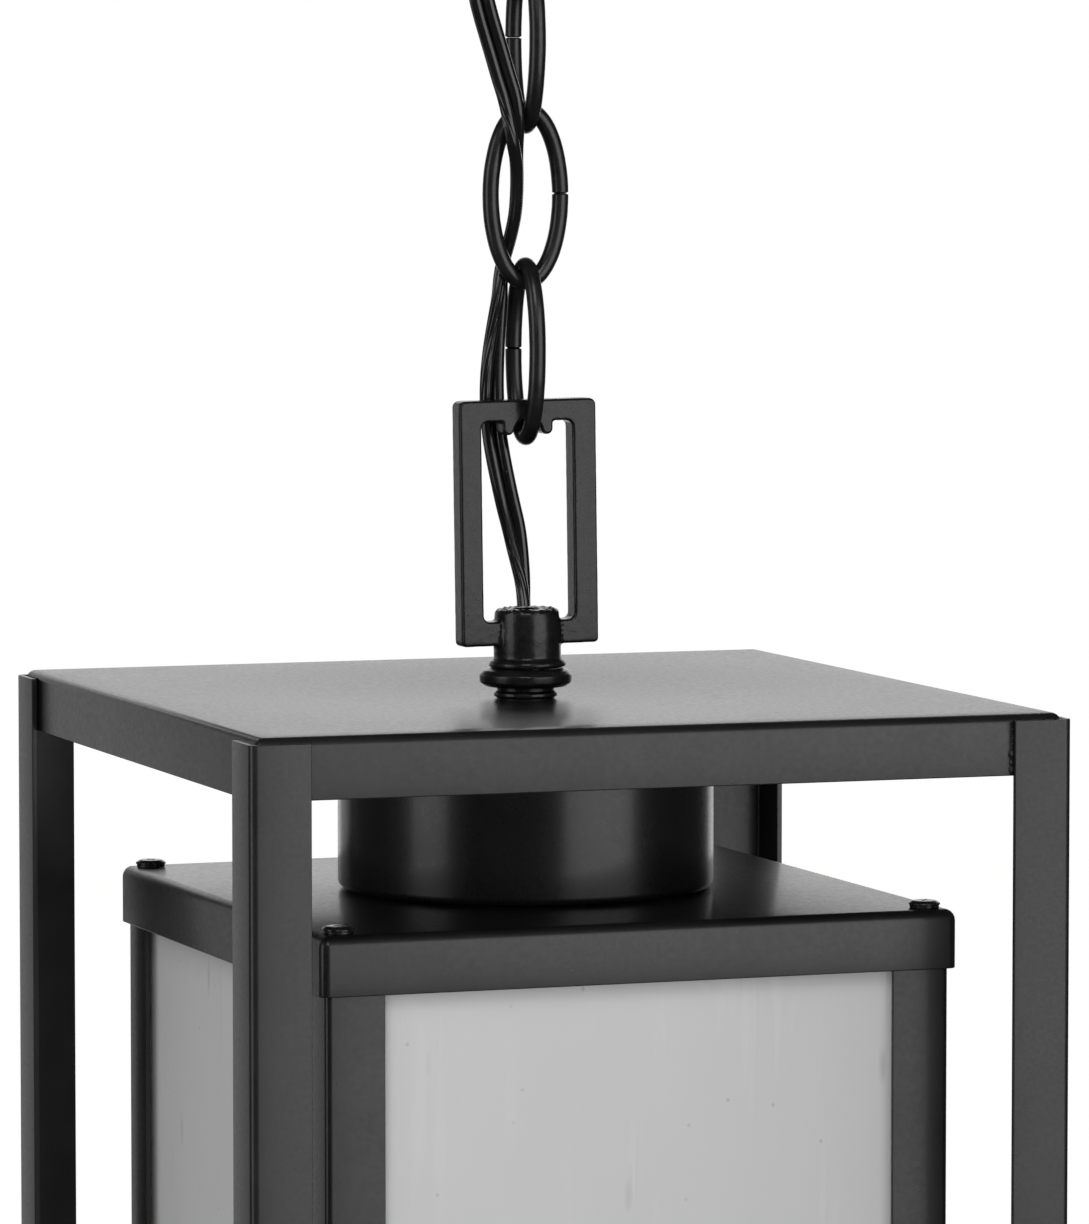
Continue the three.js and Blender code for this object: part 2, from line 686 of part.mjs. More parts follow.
function socketBodyGeometry() {
  const { topDepth, floorDepth, ridge, taper } = SOCKET_BODY;
  const neck = SOCKET_RADIUS - SOCKET_CAP.sheet - GAP;
  const top = SOCKET_TOP - topDepth;
  const floor = SOCKET_TOP - floorDepth;
  return turned([
    [0, floor],
    [SOCKET_BORE, floor],
    [SOCKET_BORE, SOCKET_BOTTOM],
    [SOCKET_RADIUS - taper, SOCKET_BOTTOM],
    [SOCKET_RADIUS, SOCKET_SKIRT - ridge],
    [SOCKET_RADIUS, SOCKET_SKIRT - GAP],
    [neck, SOCKET_SKIRT - GAP],
    [neck, top],
    [0, top],
  ], MIDDLE_ROUND);
}

// Rolled thread of the screw shell: the wall steps in and out by about its own thickness.
function screwShellGeometry() {
  const { radius, wall, rise, topDepth, inset, rings } = SHELL;
  const top = SOCKET_TOP - topDepth;
  const bottom = SOCKET_BOTTOM + inset;
  const wave = Array.from({ length: rings }, (_, i) => {
    const swell = i % 2 === 0 ? 0 : rise;
    return [radius - rise + swell, bottom + ((top - bottom) * i) / (rings - 1)];
  });
  const inside = wave.map(([r, z]) => [r - wall, z]).reverse();
  return turned([...wave, ...inside], MIDDLE_ROUND);
}

function contactGeometry() {
  const { radius, buttonRadius, faceRadius, sheet, height } = CONTACT;
  const top = SOCKET_TOP - SOCKET_BODY.floorDepth - GAP;
  return turned([
    [0, top - height],
    [faceRadius, top - height],
    [buttonRadius, top - sheet],
    [radius, top - sheet],
    [radius, top],
    [0, top],
  ], SMALL_ROUND);
}

// ---------------------------------------------------------------- whole lantern

function lantern() {
  const group = new THREE.Group();
  group.position.z = PLATE_Z;
  const seatRing = tube(SEAT_RADIUS, STEM_HOLE, GAP, SEAT_TOP, MIDDLE_ROUND);
  const lockWasher = tube(WASHER.radius, STEM_HOLE, WASHER_BOTTOM, WASHER_TOP);
  group.add(
    piece('lantern_loop', loopGeometry(), castBlack),
    piece('lantern_collar', collarGeometry(), castBlack),
    piece('seat_ring', seatRing, castBlack),
    piece('lantern_stem', tube(STEM_RADIUS, STEM_BORE, STEM_BOTTOM, STEM_IN_HUB), zincSteel),
    piece('top_plate', topPlateGeometry(), powderCoat),
    ...onFourSides(outerPost),
    ...onFourSides(bottomRail),
    piece('spacer_drum', drumGeometry(), powderCoat),
    glassLantern(),
    piece('lock_washer', lockWasher, zincSteel),
    piece('stem_nut', hexNut(STEM_NUT_TOP), zincSteel),
    piece('socket_cap', socketCapGeometry(), brass),
    piece('socket_body', socketBodyGeometry(), porcelain),
    piece('screw_shell', screwShellGeometry(), brass),
    piece('centre_contact', contactGeometry(), brass),
  );
  return group;
}

const hangingLantern = new THREE.Group();
hangingLantern.add(
  ceilingMount(),
  link('link_top', LINK_TOP_Z, Math.PI / 2),
  link('link_middle', LINK_MIDDLE_Z, 0),
  link('link_bottom', LINK_BOTTOM_Z, Math.PI / 2),
  cord(),
  lantern(),
);

export default hangingLantern;
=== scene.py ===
import json
import math
import random

import bmesh
import bpy
from mathutils import Matrix, Vector, noise


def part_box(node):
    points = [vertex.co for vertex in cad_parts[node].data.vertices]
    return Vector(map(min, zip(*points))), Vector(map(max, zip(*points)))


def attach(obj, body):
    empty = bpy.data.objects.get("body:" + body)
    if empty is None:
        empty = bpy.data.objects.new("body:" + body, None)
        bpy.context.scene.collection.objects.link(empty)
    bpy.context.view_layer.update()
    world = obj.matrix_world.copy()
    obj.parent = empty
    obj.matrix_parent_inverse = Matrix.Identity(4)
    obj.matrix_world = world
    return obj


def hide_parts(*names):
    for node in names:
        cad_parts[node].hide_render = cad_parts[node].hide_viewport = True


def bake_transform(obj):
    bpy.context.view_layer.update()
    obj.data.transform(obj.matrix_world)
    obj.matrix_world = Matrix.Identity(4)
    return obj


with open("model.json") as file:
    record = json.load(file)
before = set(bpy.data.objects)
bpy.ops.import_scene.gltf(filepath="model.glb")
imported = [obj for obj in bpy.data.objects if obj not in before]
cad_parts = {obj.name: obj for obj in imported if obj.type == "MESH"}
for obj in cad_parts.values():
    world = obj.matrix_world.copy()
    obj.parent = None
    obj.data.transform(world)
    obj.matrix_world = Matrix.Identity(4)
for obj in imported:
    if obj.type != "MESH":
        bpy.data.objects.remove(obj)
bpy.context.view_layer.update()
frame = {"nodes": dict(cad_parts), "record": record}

# The looks of a hanging lantern: a square black frame round a smaller lantern of etched
# glass, hung from a cast loop, three chain links, a flat twin cord and a ceiling canopy.
# The scene is in metres, and named sizes are in millimetres unless mm() turns them. The front
# is towards -Y. Heights of the lantern are measured from its top plate, and places and main
# sizes come from the frame.

MM = 0.001
PLATE_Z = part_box("top_plate")[1].z
CANOPY_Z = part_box("canopy")[0].z
LINK_Z = {
    name: sum(corner.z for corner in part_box(name)) / 2
    for name in ("link_top", "link_middle", "link_bottom")
}


def mm(value):
    """Millimetres as metres."""
    return value * MM


# ------------------------------------------------------------------ camera

CAMERA_FROM_PLATE = Vector((-0.55452, -1.58964, 0.14669))
CAMERA_TURN = math.radians(-19.386)
CAMERA_PITCH = math.radians(85.66)
CAMERA_LENS = 205.8


def make_camera():
    data = bpy.data.cameras.new("camera")
    data.lens = CAMERA_LENS
    data.sensor_width = 36
    data.clip_start = 0.05
    data.clip_end = 100
    camera = bpy.data.objects.new("camera", data)
    camera.location = CAMERA_FROM_PLATE + Vector((0, 0, PLATE_Z))
    camera.rotation_euler = (CAMERA_PITCH, 0, CAMERA_TURN)
    bpy.context.scene.collection.objects.link(camera)
    bpy.context.scene.camera = camera


make_camera()

# ------------------------------------------------------------------ materials

COAT_ROUGHNESS = 0.16


class Paint:
    """A new node material, and short ways to add the nodes that the finishes share."""

    def __init__(self, name, color, roughness, metallic=0.0, ior=1.5, coat=0.0):
        self.material = bpy.data.materials.new(name)
        self.material.use_nodes = True
        self.nodes = self.material.node_tree.nodes
        self.links = self.material.node_tree.links
        self.shader = self.nodes["Principled BSDF"]
        self.set("Base Color", (*color, 1))
        self.set("Roughness", roughness)
        self.set("Metallic", metallic)
        self.set("IOR", ior)
        self.set("Coat Weight", coat)
        self.set("Coat Roughness", COAT_ROUGHNESS)
        self.place = self.nodes.new("ShaderNodeTexCoord").outputs["Object"]

    def set(self, name, value):
        self.shader.inputs[name].default_value = value

    def link(self, source, target):
        self.links.new(source, target)

    def stretched(self, scale):
        """The object's own coordinates, scaled along each axis."""
        mapping = self.nodes.new("ShaderNodeMapping")
        mapping.inputs["Scale"].default_value = scale
        self.link(self.place, mapping.inputs["Vector"])
        return mapping.outputs["Vector"]

    def noise(self, scale, detail=3.0, roughness=0.5, where=None):
        node = self.nodes.new("ShaderNodeTexNoise")
        node.inputs["Scale"].default_value = scale
        node.inputs["Detail"].default_value = detail
        node.inputs["Roughness"].default_value = roughness
        self.link(where or self.place, node.inputs["Vector"])
        return node.outputs["Fac"]

    def dots(self, scale, randomness=1.0, where=None):
        """Distance to the nearest of a scatter of points, in cells."""
        node = self.nodes.new("ShaderNodeTexVoronoi")
        node.inputs["Scale"].default_value = scale
        node.inputs["Randomness"].default_value = randomness
        self.link(where or self.place, node.inputs["Vector"])
        return node.outputs["Distance"]

    def ramp(self, source, low, high, start=0.0, end=1.0):
        """Maps source from (low, high) to (start, end), clamped."""
        node = self.nodes.new("ShaderNodeMapRange")
        limits = {"From Min": low, "From Max": high, "To Min": start, "To Max": end}
        for name, value in limits.items():
            node.inputs[name].default_value = value
        self.link(source, node.inputs["Value"])
        return node.outputs["Result"]

    def combine(self, operation, a, b):
        """One arithmetic step between two numbers or node outputs."""
        node = self.nodes.new("ShaderNodeMath")
        node.operation = operation
        for value, socket in ((a, node.inputs[0]), (b, node.inputs[1])):
            if isinstance(value, (int, float)):
                socket.default_value = value
            else:
                self.link(value, socket)
        return node.outputs["Value"]

    def tint(self, share, first, second):
        """Mixes two colours into the base colour."""
        node = self.nodes.new("ShaderNodeMix")
        node.data_type = "RGBA"
        colors = [socket for socket in node.inputs if socket.type == "RGBA"]
        colors[0].default_value = (*first, 1)
        colors[1].default_value = (*second, 1)
        self.link(share, node.inputs["Factor"])
        result = [socket for socket in node.outputs if socket.type == "RGBA"][0]
        self.link(result, self.shader.inputs["Base Color"])

    def vary_roughness(self, source, low, high, start=0.3, end=0.7):
        """Makes the roughness run from low to high as source goes from start to end."""
        self.link(self.ramp(source, start, end, low, high), self.shader.inputs["Roughness"])

    def bump(self, *layers):
        """Adds bump layers of (height, depth in metres), one on top of the other."""
        normal = None
        for height, depth in layers:
            node = self.nodes.new("ShaderNodeBump")
            node.inputs["Strength"].default_value = 1
            node.inputs["Distance"].default_value = depth
            self.link(height, node.inputs["Height"])
            if normal is not None:
                self.link(normal, node.inputs["Normal"])
            normal = node.outputs["Normal"]
        self.link(normal, self.shader.inputs["Normal"])


def grey(value):
    """A neutral colour, very slightly blue."""
    return (value, value, value * 1.02)


def powder_coat(name="powder coat", smooth=0.34, rough=0.42, peel_depth=0.006):
    """Satin black powder coat: fine orange peel, a faint cloudiness and a few nibs.

    Its roughness wanders between smooth and rough, and its peel is peel_depth mm deep.
    """
    grain_depth = peel_depth * 0.7
    nib_depth = peel_depth * 5
    paint = Paint(name, grey(0.008), smooth, coat=0.25)
    cloud = paint.noise(60, detail=2)
    peel = paint.noise(900, detail=2)
    grain = paint.noise(4200, detail=2)
    nibs = paint.ramp(paint.dots(150), 0.0, 0.07, 1, 0)
    paint.tint(paint.ramp(cloud, 0.35, 0.65), grey(0.006), grey(0.010))
    paint.vary_roughness(peel, smooth, rough)
    paint.bump((peel, mm(peel_depth)), (grain, mm(grain_depth)), (nibs, mm(nib_depth)))
    return paint.material


def cast_black():
    """Black paint over a rough casting: low swells, fine grit and small pits."""
    paint = Paint("cast black", grey(0.006), 0.32, ior=1.41, coat=0.24)
    swell = paint.noise(420, detail=3)
    grit = paint.noise(2600, detail=3, roughness=0.6)
    pits = paint.ramp(paint.dots(620), 0.04, 0.2, 0, 1)
    paint.tint(paint.ramp(swell, 0.35, 0.65), grey(0.005), grey(0.010))
    paint.vary_roughness(grit, 0.24, 0.38)
    paint.bump((swell, mm(0.05)), (grit, mm(0.010)), (pits, mm(0.03)))
    return paint.material


def chain_black():
    """Semi-gloss black on drawn wire: faint lengthwise unevenness and a few pocks."""
    paint = Paint("chain black", grey(0.006), 0.34, coat=0.3)
    swell = paint.noise(260, detail=3)
    fine = paint.noise(2200, detail=3)
    pocks = paint.ramp(paint.dots(420), 0.03, 0.12, 0, 1)
    paint.tint(paint.ramp(swell, 0.35, 0.65), grey(0.004), grey(0.009))
    paint.vary_roughness(fine, 0.29, 0.42)
    paint.bump((swell, mm(0.06)), (fine, mm(0.010)), (pocks, mm(0.04)))
    return paint.material


def screw_black():
    """Glossy black oxide on a screw head."""
    paint = Paint("screw black", grey(0.010), 0.2)
    wear = paint.noise(1500, detail=3)
    paint.tint(paint.ramp(wear, 0.4, 0.7), grey(0.008), grey(0.03))
    paint.vary_roughness(wear, 0.16, 0.28)
    paint.bump((wear, mm(0.012)))
    return paint.material


def cord_black():
    """Black vinyl sheath: fine drawn lines and a few specks of dust."""
    paint = Paint("cord black", grey(0.005), 0.22, coat=0.5)
    drawn = paint.noise(1, detail=2, where=paint.stretched((2600, 2600, 60)))
    dust = paint.ramp(paint.dots(330), 0.02, 0.05, 1, 0)
    paint.tint(dust, grey(0.005), grey(0.14))
    paint.vary_roughness(drawn, 0.18, 0.26)
    paint.bump((drawn, mm(0.004)), (dust, mm(0.02)))
    return paint.material


def etched_glass():
    """Etched seeded glass, lit through: upright seeds and fine dots in a milky pane."""
    paint = Paint("etched glass", (0.58, 0.585, 0.58), 0.5)
    cloud = paint.noise(1, detail=3, where=paint.stretched((22, 22, 9)))
    seeds = paint.ramp(paint.dots(1, where=paint.stretched((95, 95, 24))), 0.03, 0.13, 1, 0)
    drawn = paint.noise(1, detail=2, where=paint.stretched((260, 260, 26)))
    streaks = paint.ramp(drawn, 0.58, 0.78)
    specks = paint.ramp(paint.dots(120), 0.03, 0.07, 1, 0)
    marks = paint.combine("MULTIPLY", paint.combine("MAXIMUM", seeds, specks), 0.9)
    shade = paint.combine("ADD", paint.ramp(cloud, 0.3, 0.7, 0.0, 0.25), marks)
    paint.tint(shade, (0.595, 0.60, 0.595), (0.48, 0.485, 0.485))
    paint.vary_roughness(streaks, 0.5, 0.36, start=0, end=1)
    paint.bump((cloud, mm(0.25)), (streaks, mm(0.09)), (seeds, mm(0.12)), (specks, mm(0.07)))
    return paint.material


def zinc_steel():
    """Zinc plating: pale metal with a crystalline mottle and fine scratches."""
    paint = Paint("zinc steel", (0.62, 0.63, 0.64), 0.35, metallic=1.0)
    mottle = paint.dots(500)
    scratch = paint.noise(1, detail=3, where=paint.stretched((300, 3000, 3000)))
    paint.tint(paint.ramp(mottle, 0.1, 0.7), (0.56, 0.57, 0.58), (0.70, 0.71, 0.72))
    paint.vary_roughness(scratch, 0.28, 0.46)
    paint.bump((scratch, mm(0.01)))
    return paint.material


def green_steel():
    """Green dye over zinc on the ground screw."""
    paint = Paint("green steel", (0.03, 0.28, 0.08), 0.35, metallic=0.6)
    mottle = paint.noise(900, detail=3)
    paint.tint(paint.ramp(mottle, 0.35, 0.65), (0.02, 0.22, 0.06), (0.05, 0.34, 0.11))
    paint.bump((mottle, mm(0.01)))
    return paint.material


def socket_brass():
    """Rolled brass: slightly tarnished, with drawn lines round it."""
    paint = Paint("socket brass", (0.72, 0.52, 0.22), 0.3, metallic=1.0)
    drawn = paint.noise(1, detail=3, where=paint.stretched((200, 200, 3500)))
    tarnish = paint.noise(120, detail=3)
    paint.tint(paint.ramp(tarnish, 0.4, 0.7), (0.76, 0.56, 0.25), (0.45, 0.31, 0.13))
    paint.vary_roughness(tarnish, 0.24, 0.45)
    paint.bump((drawn, mm(0.008)))
    return paint.material


def porcelain():
    """Glazed porcelain with a soft unevenness and rare specks."""
    paint = Paint("porcelain", (0.83, 0.81, 0.76), 0.18)
    swell = paint.noise(160, detail=2)
    specks = paint.ramp(paint.dots(260), 0.02, 0.05, 1, 0)
    paint.tint(specks, (0.83, 0.81, 0.76), (0.45, 0.38, 0.30))
    paint.bump((swell, mm(0.05)))
    return paint.material


SLOTS = {
    "powder_coat": powder_coat(),
    "black_casting": cast_black(),
    "black_chain": chain_black(),
    "black_screw": screw_black(),
    "black_cord": cord_black(),
    "etched_glass": etched_glass(),
    "zinc_steel": zinc_steel(),
    "green_screw": green_steel(),
    "socket_brass": socket_brass(),
    "porcelain": porcelain(),
}

# ------------------------------------------------------------------ mesh helpers

SMOOTH_ANGLE = math.radians(32)
MERGE = 1e-7  # points closer than this are one, in metres
AXIS = 0.01  # radius that stands for a solid's own axis, in mm


def finish(mesh, slot, creased=True):
    """Gives a mesh its slot's material and smooth shading, creased at its sharp edges."""
    mesh.materials.clear()
    mesh.materials.append(SLOTS[slot])
    mesh.shade_smooth()
    if creased:
        mesh.set_sharp_from_angle(angle=SMOOTH_ANGLE)


def to_object(name, bm, slot):
    """A new object from a bmesh, which is used up."""
    bmesh.ops.remove_doubles(bm, verts=bm.verts, dist=MERGE)
    bmesh.ops.recalc_face_normals(bm, faces=bm.faces)
    mesh = bpy.data.meshes.new(name)
    bm.to_mesh(mesh)
    bm.free()
    return place_mesh(name, mesh, slot)


def place_mesh(name, mesh, slot, creased=True):
    """A new object in the scene that shows the mesh."""
    finish(mesh, slot, creased)
    obj = bpy.data.objects.new(name, mesh)
    bpy.context.scene.collection.objects.link(obj)
    return obj


def stands_for(obj, body, *nodes):
    """The piece moves with the body and is shown in place of the CAD nodes."""
    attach(obj, body)
    if nodes:
        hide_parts(*nodes)
    return obj


def bring(obj, matrix):
    """Moves the object's mesh, and leaves its origin at the scene's."""
    obj.data.transform(matrix)
    return obj


def lifted(height):
    return Matrix.Translation((0, 0, height))


def quarter_turn(quarter):
    return Matrix.Rotation(quarter * math.pi / 2, 4, "Z")


def applied(obj, *modifiers):
    """Adds modifiers given as (type, settings), and keeps only the mesh that they make."""
    for kind, settings in modifiers:
        modifier = obj.modifiers.new(kind.lower(), kind)
        for name, value in settings.items():
            setattr(modifier, name, value)
    bpy.context.view_layer.update()
    graph = bpy.context.evaluated_depsgraph_get()
    mesh = bpy.data.meshes.new_from_object(obj.evaluated_get(graph))
    obj.modifiers.clear()
    obj.data = mesh
    return obj


def eased(obj, width):
    """Rounds the sharp edges of a piece a little, as cut and coated sheet has them."""
    bevel = obj.modifiers.new("eased edges", "BEVEL")
    bevel.width = mm(width)
    bevel.segments = 2
    bevel.limit_method = "ANGLE"
    bevel.angle_limit = math.radians(50)
    bevel.harden_normals = True
    return obj


def rounded(corners, steps=5):
    """Points of a closed outline of (x, y, radius) corners, each rounded by its radius."""
    points = []
    for i, (x, y, radius) in enumerate(corners):
        here = Vector((x, y))
        if radius == 0:
            points.append(here)
            continue
        before = (Vector(corners[i - 1][:2]) - here).normalized()
        after = (Vector(corners[(i + 1) % len(corners)][:2]) - here).normalized()
        half = before.angle(after) / 2
        centre = here + (before + after).normalized() * radius / math.sin(half)
        first = here + before * radius / math.tan(half) - centre
        last = here + after * radius / math.tan(half) - centre
        start = math.atan2(first.y, first.x)
        sweep = (math.atan2(last.y, last.x) - start + math.pi) % (2 * math.pi) - math.pi
        for step in range(steps + 1):
            angle = start + sweep * step / steps
            points.append(centre + radius * Vector((math.cos(angle), math.sin(angle))))
    return points


def join_rings(bm, rings, closed):
    """Faces between rings of vertices, each ring next to the one before it."""
    pairs = list(zip(rings, rings[1:]))
    if closed:
        pairs.append((rings[-1], rings[0]))
    for low, high in pairs:
        count = len(low)
        for k in range(count):
            after = (k + 1) % count
            bm.faces.new((low[k], low[after], high[after], high[k]))


def revolved(name, profile, sides, slot):
    """Turns a closed outline of (radius, height, rounding) corners in mm about Z."""
    bm = bmesh.new()
    rings = []
    for radius, height in rounded(profile):
        turns = (2 * math.pi * k / sides for k in range(sides))
        corners = [(radius * math.cos(a), radius * math.sin(a), height) for a in turns]
        rings.append([bm.verts.new(Vector(corner) * MM) for corner in corners])
    join_rings(bm, rings, closed=True)
    bmesh.ops.dissolve_degenerate(bm, dist=MERGE, edges=bm.edges)
    return to_object(name, bm, slot)


def extruded(name, outline, length, slot):
    """A straight piece of one section, from Z 0 to its length, in mm."""
    bm = bmesh.new()
    base = bm.faces.new([bm.verts.new((x * MM, y * MM, 0)) for x, y in outline])
    end = bmesh.ops.extrude_face_region(bm, geom=[base])
    top = [item for item in end["geom"] if isinstance(item, bmesh.types.BMVert)]
    bmesh.ops.translate(bm, verts=top, vec=(0, 0, length * MM))
    return to_object(name, bm, slot)


def pan(name, half, top, height, sheet, bend, corner, opening, slot):
    """A square pan of folded sheet, open side down, with rounded upright corners (mm)."""
    profile = rounded([
        (half - sheet, top - height, 0.25),
        (half, top - height, 0.25),
        (half, top, bend),
        (opening, top, 0),
        (opening, top - sheet, 0),
        (half - sheet, top - sheet, max(bend - sheet, 0.4)),
    ])
    steps = 6
    bm = bmesh.new()
    rings = []
    for reach, height_here in profile:
        turn = max(corner - (half - reach), 0)
        centre_reach = (reach - turn) * math.sqrt(2)
        ring = []
        for quarter in range(4):
            diagonal = math.pi / 2 * quarter + math.pi / 4
            for step in range(steps + 1):
                angle = math.pi / 2 * (quarter + step / steps)
                x = centre_reach * math.cos(diagonal) + turn * math.cos(angle)
                y = centre_reach * math.sin(diagonal) + turn * math.sin(angle)
                ring.append(bm.verts.new(Vector((x, y, height_here)) * MM))
        rings.append(ring)
    join_rings(bm, rings, closed=True)
    bmesh.ops.remove_doubles(bm, verts=bm.verts, dist=MERGE)
    bmesh.ops.dissolve_degenerate(bm, dist=MERGE, edges=bm.edges)
    return to_object(name, bm, slot)


def angle_section(leg, sheet, bend):
    """Section of a folded angle with its bend at the origin."""
    return rounded([
        (leg, 0, 0.2), (leg, sheet, 0.2), (sheet, sheet, bend - sheet),
        (sheet, leg, 0.2), (0, leg, 0.2), (0, 0, bend),
    ])


def roughened(obj, layers, seed=0.0):
    """Moves each point along its normal by noise layers of (size, depth) in mm."""
    mesh = obj.data
    normals = [vertex.normal.copy() for vertex in mesh.vertices]
    for vertex, normal in zip(mesh.vertices, normals):
        place = vertex.co / MM
        move = 0.0
        for size, depth in layers:
            move += depth * noise.noise(place / size + Vector((seed, seed, seed)))
        vertex.co += normal * move * MM
    return obj


# ------------------------------------------------------------------ cord

# Route of the cord's middle from the lantern's hub to the canopy's, in metres, with heights
# above the top plate.
CORD_ROUTE = [
    (-0.0004, 0, 0.0203), (-0.0006, 0.0004, 0.026), (-0.0012, 0.0013, 0.032),
    (-0.0021, 0.0025, 0.039), (-0.0032, 0.0037, 0.045), (-0.0042, 0.0048, 0.051),
    (-0.0051, 0.0058, 0.057), (-0.0058, 0.0065, 0.063), (-0.0062, 0.0068, 0.070),
    (-0.0061, 0.0068, 0.077), (-0.0056, 0.0066, 0.084), (-0.0051, 0.006, 0.090),
    (-0.0047, 0.0054, 0.095), (-0.0045, 0.0052, 0.0995), (-0.004, 0.005, 0.103),
    (-0.0031, 0.004, 0.107), (-0.0025, 0.0026, 0.111), (-0.0022, 0.0012, 0.115),
    (-0.00225, 0, 0.11925), (-0.0026, -0.0013, 0.124), (-0.0033, -0.0029, 0.1287),
    (-0.0042, -0.0046, 0.133), (-0.0049, -0.0054, 0.138), (-0.0059, -0.0054, 0.143),
    (-0.00745, -0.0053, 0.148), (-0.009, -0.0054, 0.153), (-0.0106, -0.0057, 0.1578),
    (-0.0122, -0.0061, 0.1626), (-0.0135, -0.0064, 0.1675), (-0.014, -0.0066, 0.173),
    (-0.0132, -0.0066, 0.179), (-0.0112, -0.0064, 0.185), (-0.0086, -0.0059, 0.191),
    (-0.006, -0.0048, 0.197), (-0.0036, -0.0032, 0.203), (-0.0017, -0.0016, 0.209),
    (-0.0006, -0.0004, 0.214), (-0.0003, 0, 0.2182),
]
# How far the flat cord is turned about the upright, in degrees, by height above the plate.
# At 0 its wide side faces the room in front of the lantern's left half.
CORD_TWIST = [
    (0.020, 86), (0.046, 10), (0.060, 3), (0.107, 86), (0.126, 86), (0.146, 6), (0.157, 2),
    (0.175, 0), (0.195, 12), (0.219, 30),
]
CORD_FACING = CAMERA_TURN
CORD_STEP = mm(0.8)
LOBE = {"marked": (-1.45, 1.55), "plain": (1.5, 1.5)}  # middle and radius of each core, mm
RIDGES = 9  # polarity ridges on the outer half of the marked core
RIDGE_DEPTH = 0.05


def smooth_route(points, step):
    """Points a step apart along a Catmull-Rom curve through the given points."""
    points = [Vector(point) for point in points]
    ends = [2 * points[0] - points[1], *points, 2 * points[-1] - points[-2]]
    line = []
    for i in range(1, len(ends) - 2):
        p0, p1, p2, p3 = ends[i - 1 : i + 3]
        count = max(1, round((p2 - p1).length / step))
        for k in range(count):
            t = k / count
            line.append(0.5 * (
                2 * p1 + (p2 - p0) * t + (2 * p0 - 5 * p1 + 4 * p2 - p3) * t * t
                + (3 * p1 - p0 - 3 * p2 + p3) * t * t * t
            ))
    line.append(points[-1])
    return line


def twist_at(height):
    """The cord's turn at a height above the plate, eased between the listed heights."""
    for (low, first), (high, last) in zip(CORD_TWIST, CORD_TWIST[1:]):
        if height <= high:
            share = min(max((height - low) / (high - low), 0), 1)
            share = share * share * (3 - 2 * share)
            return math.radians(first + (last - first) * share)
    return math.radians(CORD_TWIST[-1][1])


def cord_section():
    """Outline of the twin cord, in mm: two round cores side by side, one with ridges."""
    outline = []
    for name, steps, toward in (("plain", 20, 0), ("marked", 56, math.pi)):
        middle, radius = LOBE[name]
        waist = math.acos(min(abs(middle) / radius, 0.985))
        for k in range(steps + 1):
            angle = toward - (math.pi - waist) + 2 * (math.pi - waist) * k / steps
            reach = radius
            if name == "marked":
                side = max(0.0, math.cos(angle - math.pi)) ** 0.5
                reach += RIDGE_DEPTH * side * math.cos(RIDGES * 2 * (angle - math.pi))
            outline.append((middle + reach * math.cos(angle), reach * math.sin(angle)))
    return outline


def cord_mesh(name, line):
    """A mesh of the cord's section along a line of points, closed at both ends."""
    section = cord_section()
    bm = bmesh.new()
    rings = []
    for i, point in enumerate(line):
        along = (line[min(i + 1, len(line) - 1)] - line[max(i - 1, 0)]).normalized()
        turn = CORD_FACING + twist_at(point.z - PLATE_Z)
        wide = Vector((math.cos(turn), math.sin(turn), 0))
        wide = (wide - along * wide.dot(along)).normalized()
        thin = along.cross(wide)
        rings.append([bm.verts.new(point + (wide * u + thin * v) * MM) for u, v in section])
    join_rings(bm, rings, closed=False)
    bm.faces.new(rings[0])
    bm.faces.new(rings[-1])
    return to_object(name, bm, "black_cord")


def make_cords():
    """Four stretches, one across each joint of the chain, that meet at the links' middles."""
    route = smooth_route([(x, y, PLATE_Z + z) for x, y, z in CORD_ROUTE], CORD_STEP)
    seams = [route[0].z, LINK_Z["link_bottom"], LINK_Z["link_middle"], LINK_Z["link_top"]]
    seams.append(route[-1].z)
    stretches = [
        ("cord_at_lantern", "lantern_body", "bottom_link"),
        ("cord_lower", "bottom_link", "middle_link"),
        ("cord_upper", "middle_link", "top_link"),
        ("cord_at_canopy", "top_link", "canopy_body"),
    ]
    for (node, low_body, high_body), low, high in zip(stretches, seams, seams[1:]):
        first = min(range(len(route)), key=lambda i: abs(route[i].z - low))
        last = min(range(len(route)), key=lambda i: abs(route[i].z - high))
        line = route[first : last + 1]
        piece = cord_mesh("flat_" + node, line)
        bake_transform(piece)
        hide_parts(node)


make_cords()

# ------------------------------------------------------------------ chain

WIRE = mm(4.0)
LINK_SPLIT = mm(0.03)  # the gap between the wire's two ends
SPLIT_RAISE = mm(0.5)  # how far the gap is above the link's middle
SPLIT_CHAMFER = mm(0.55)
LINK_SIDES = 20
LINK_STEPS = 120


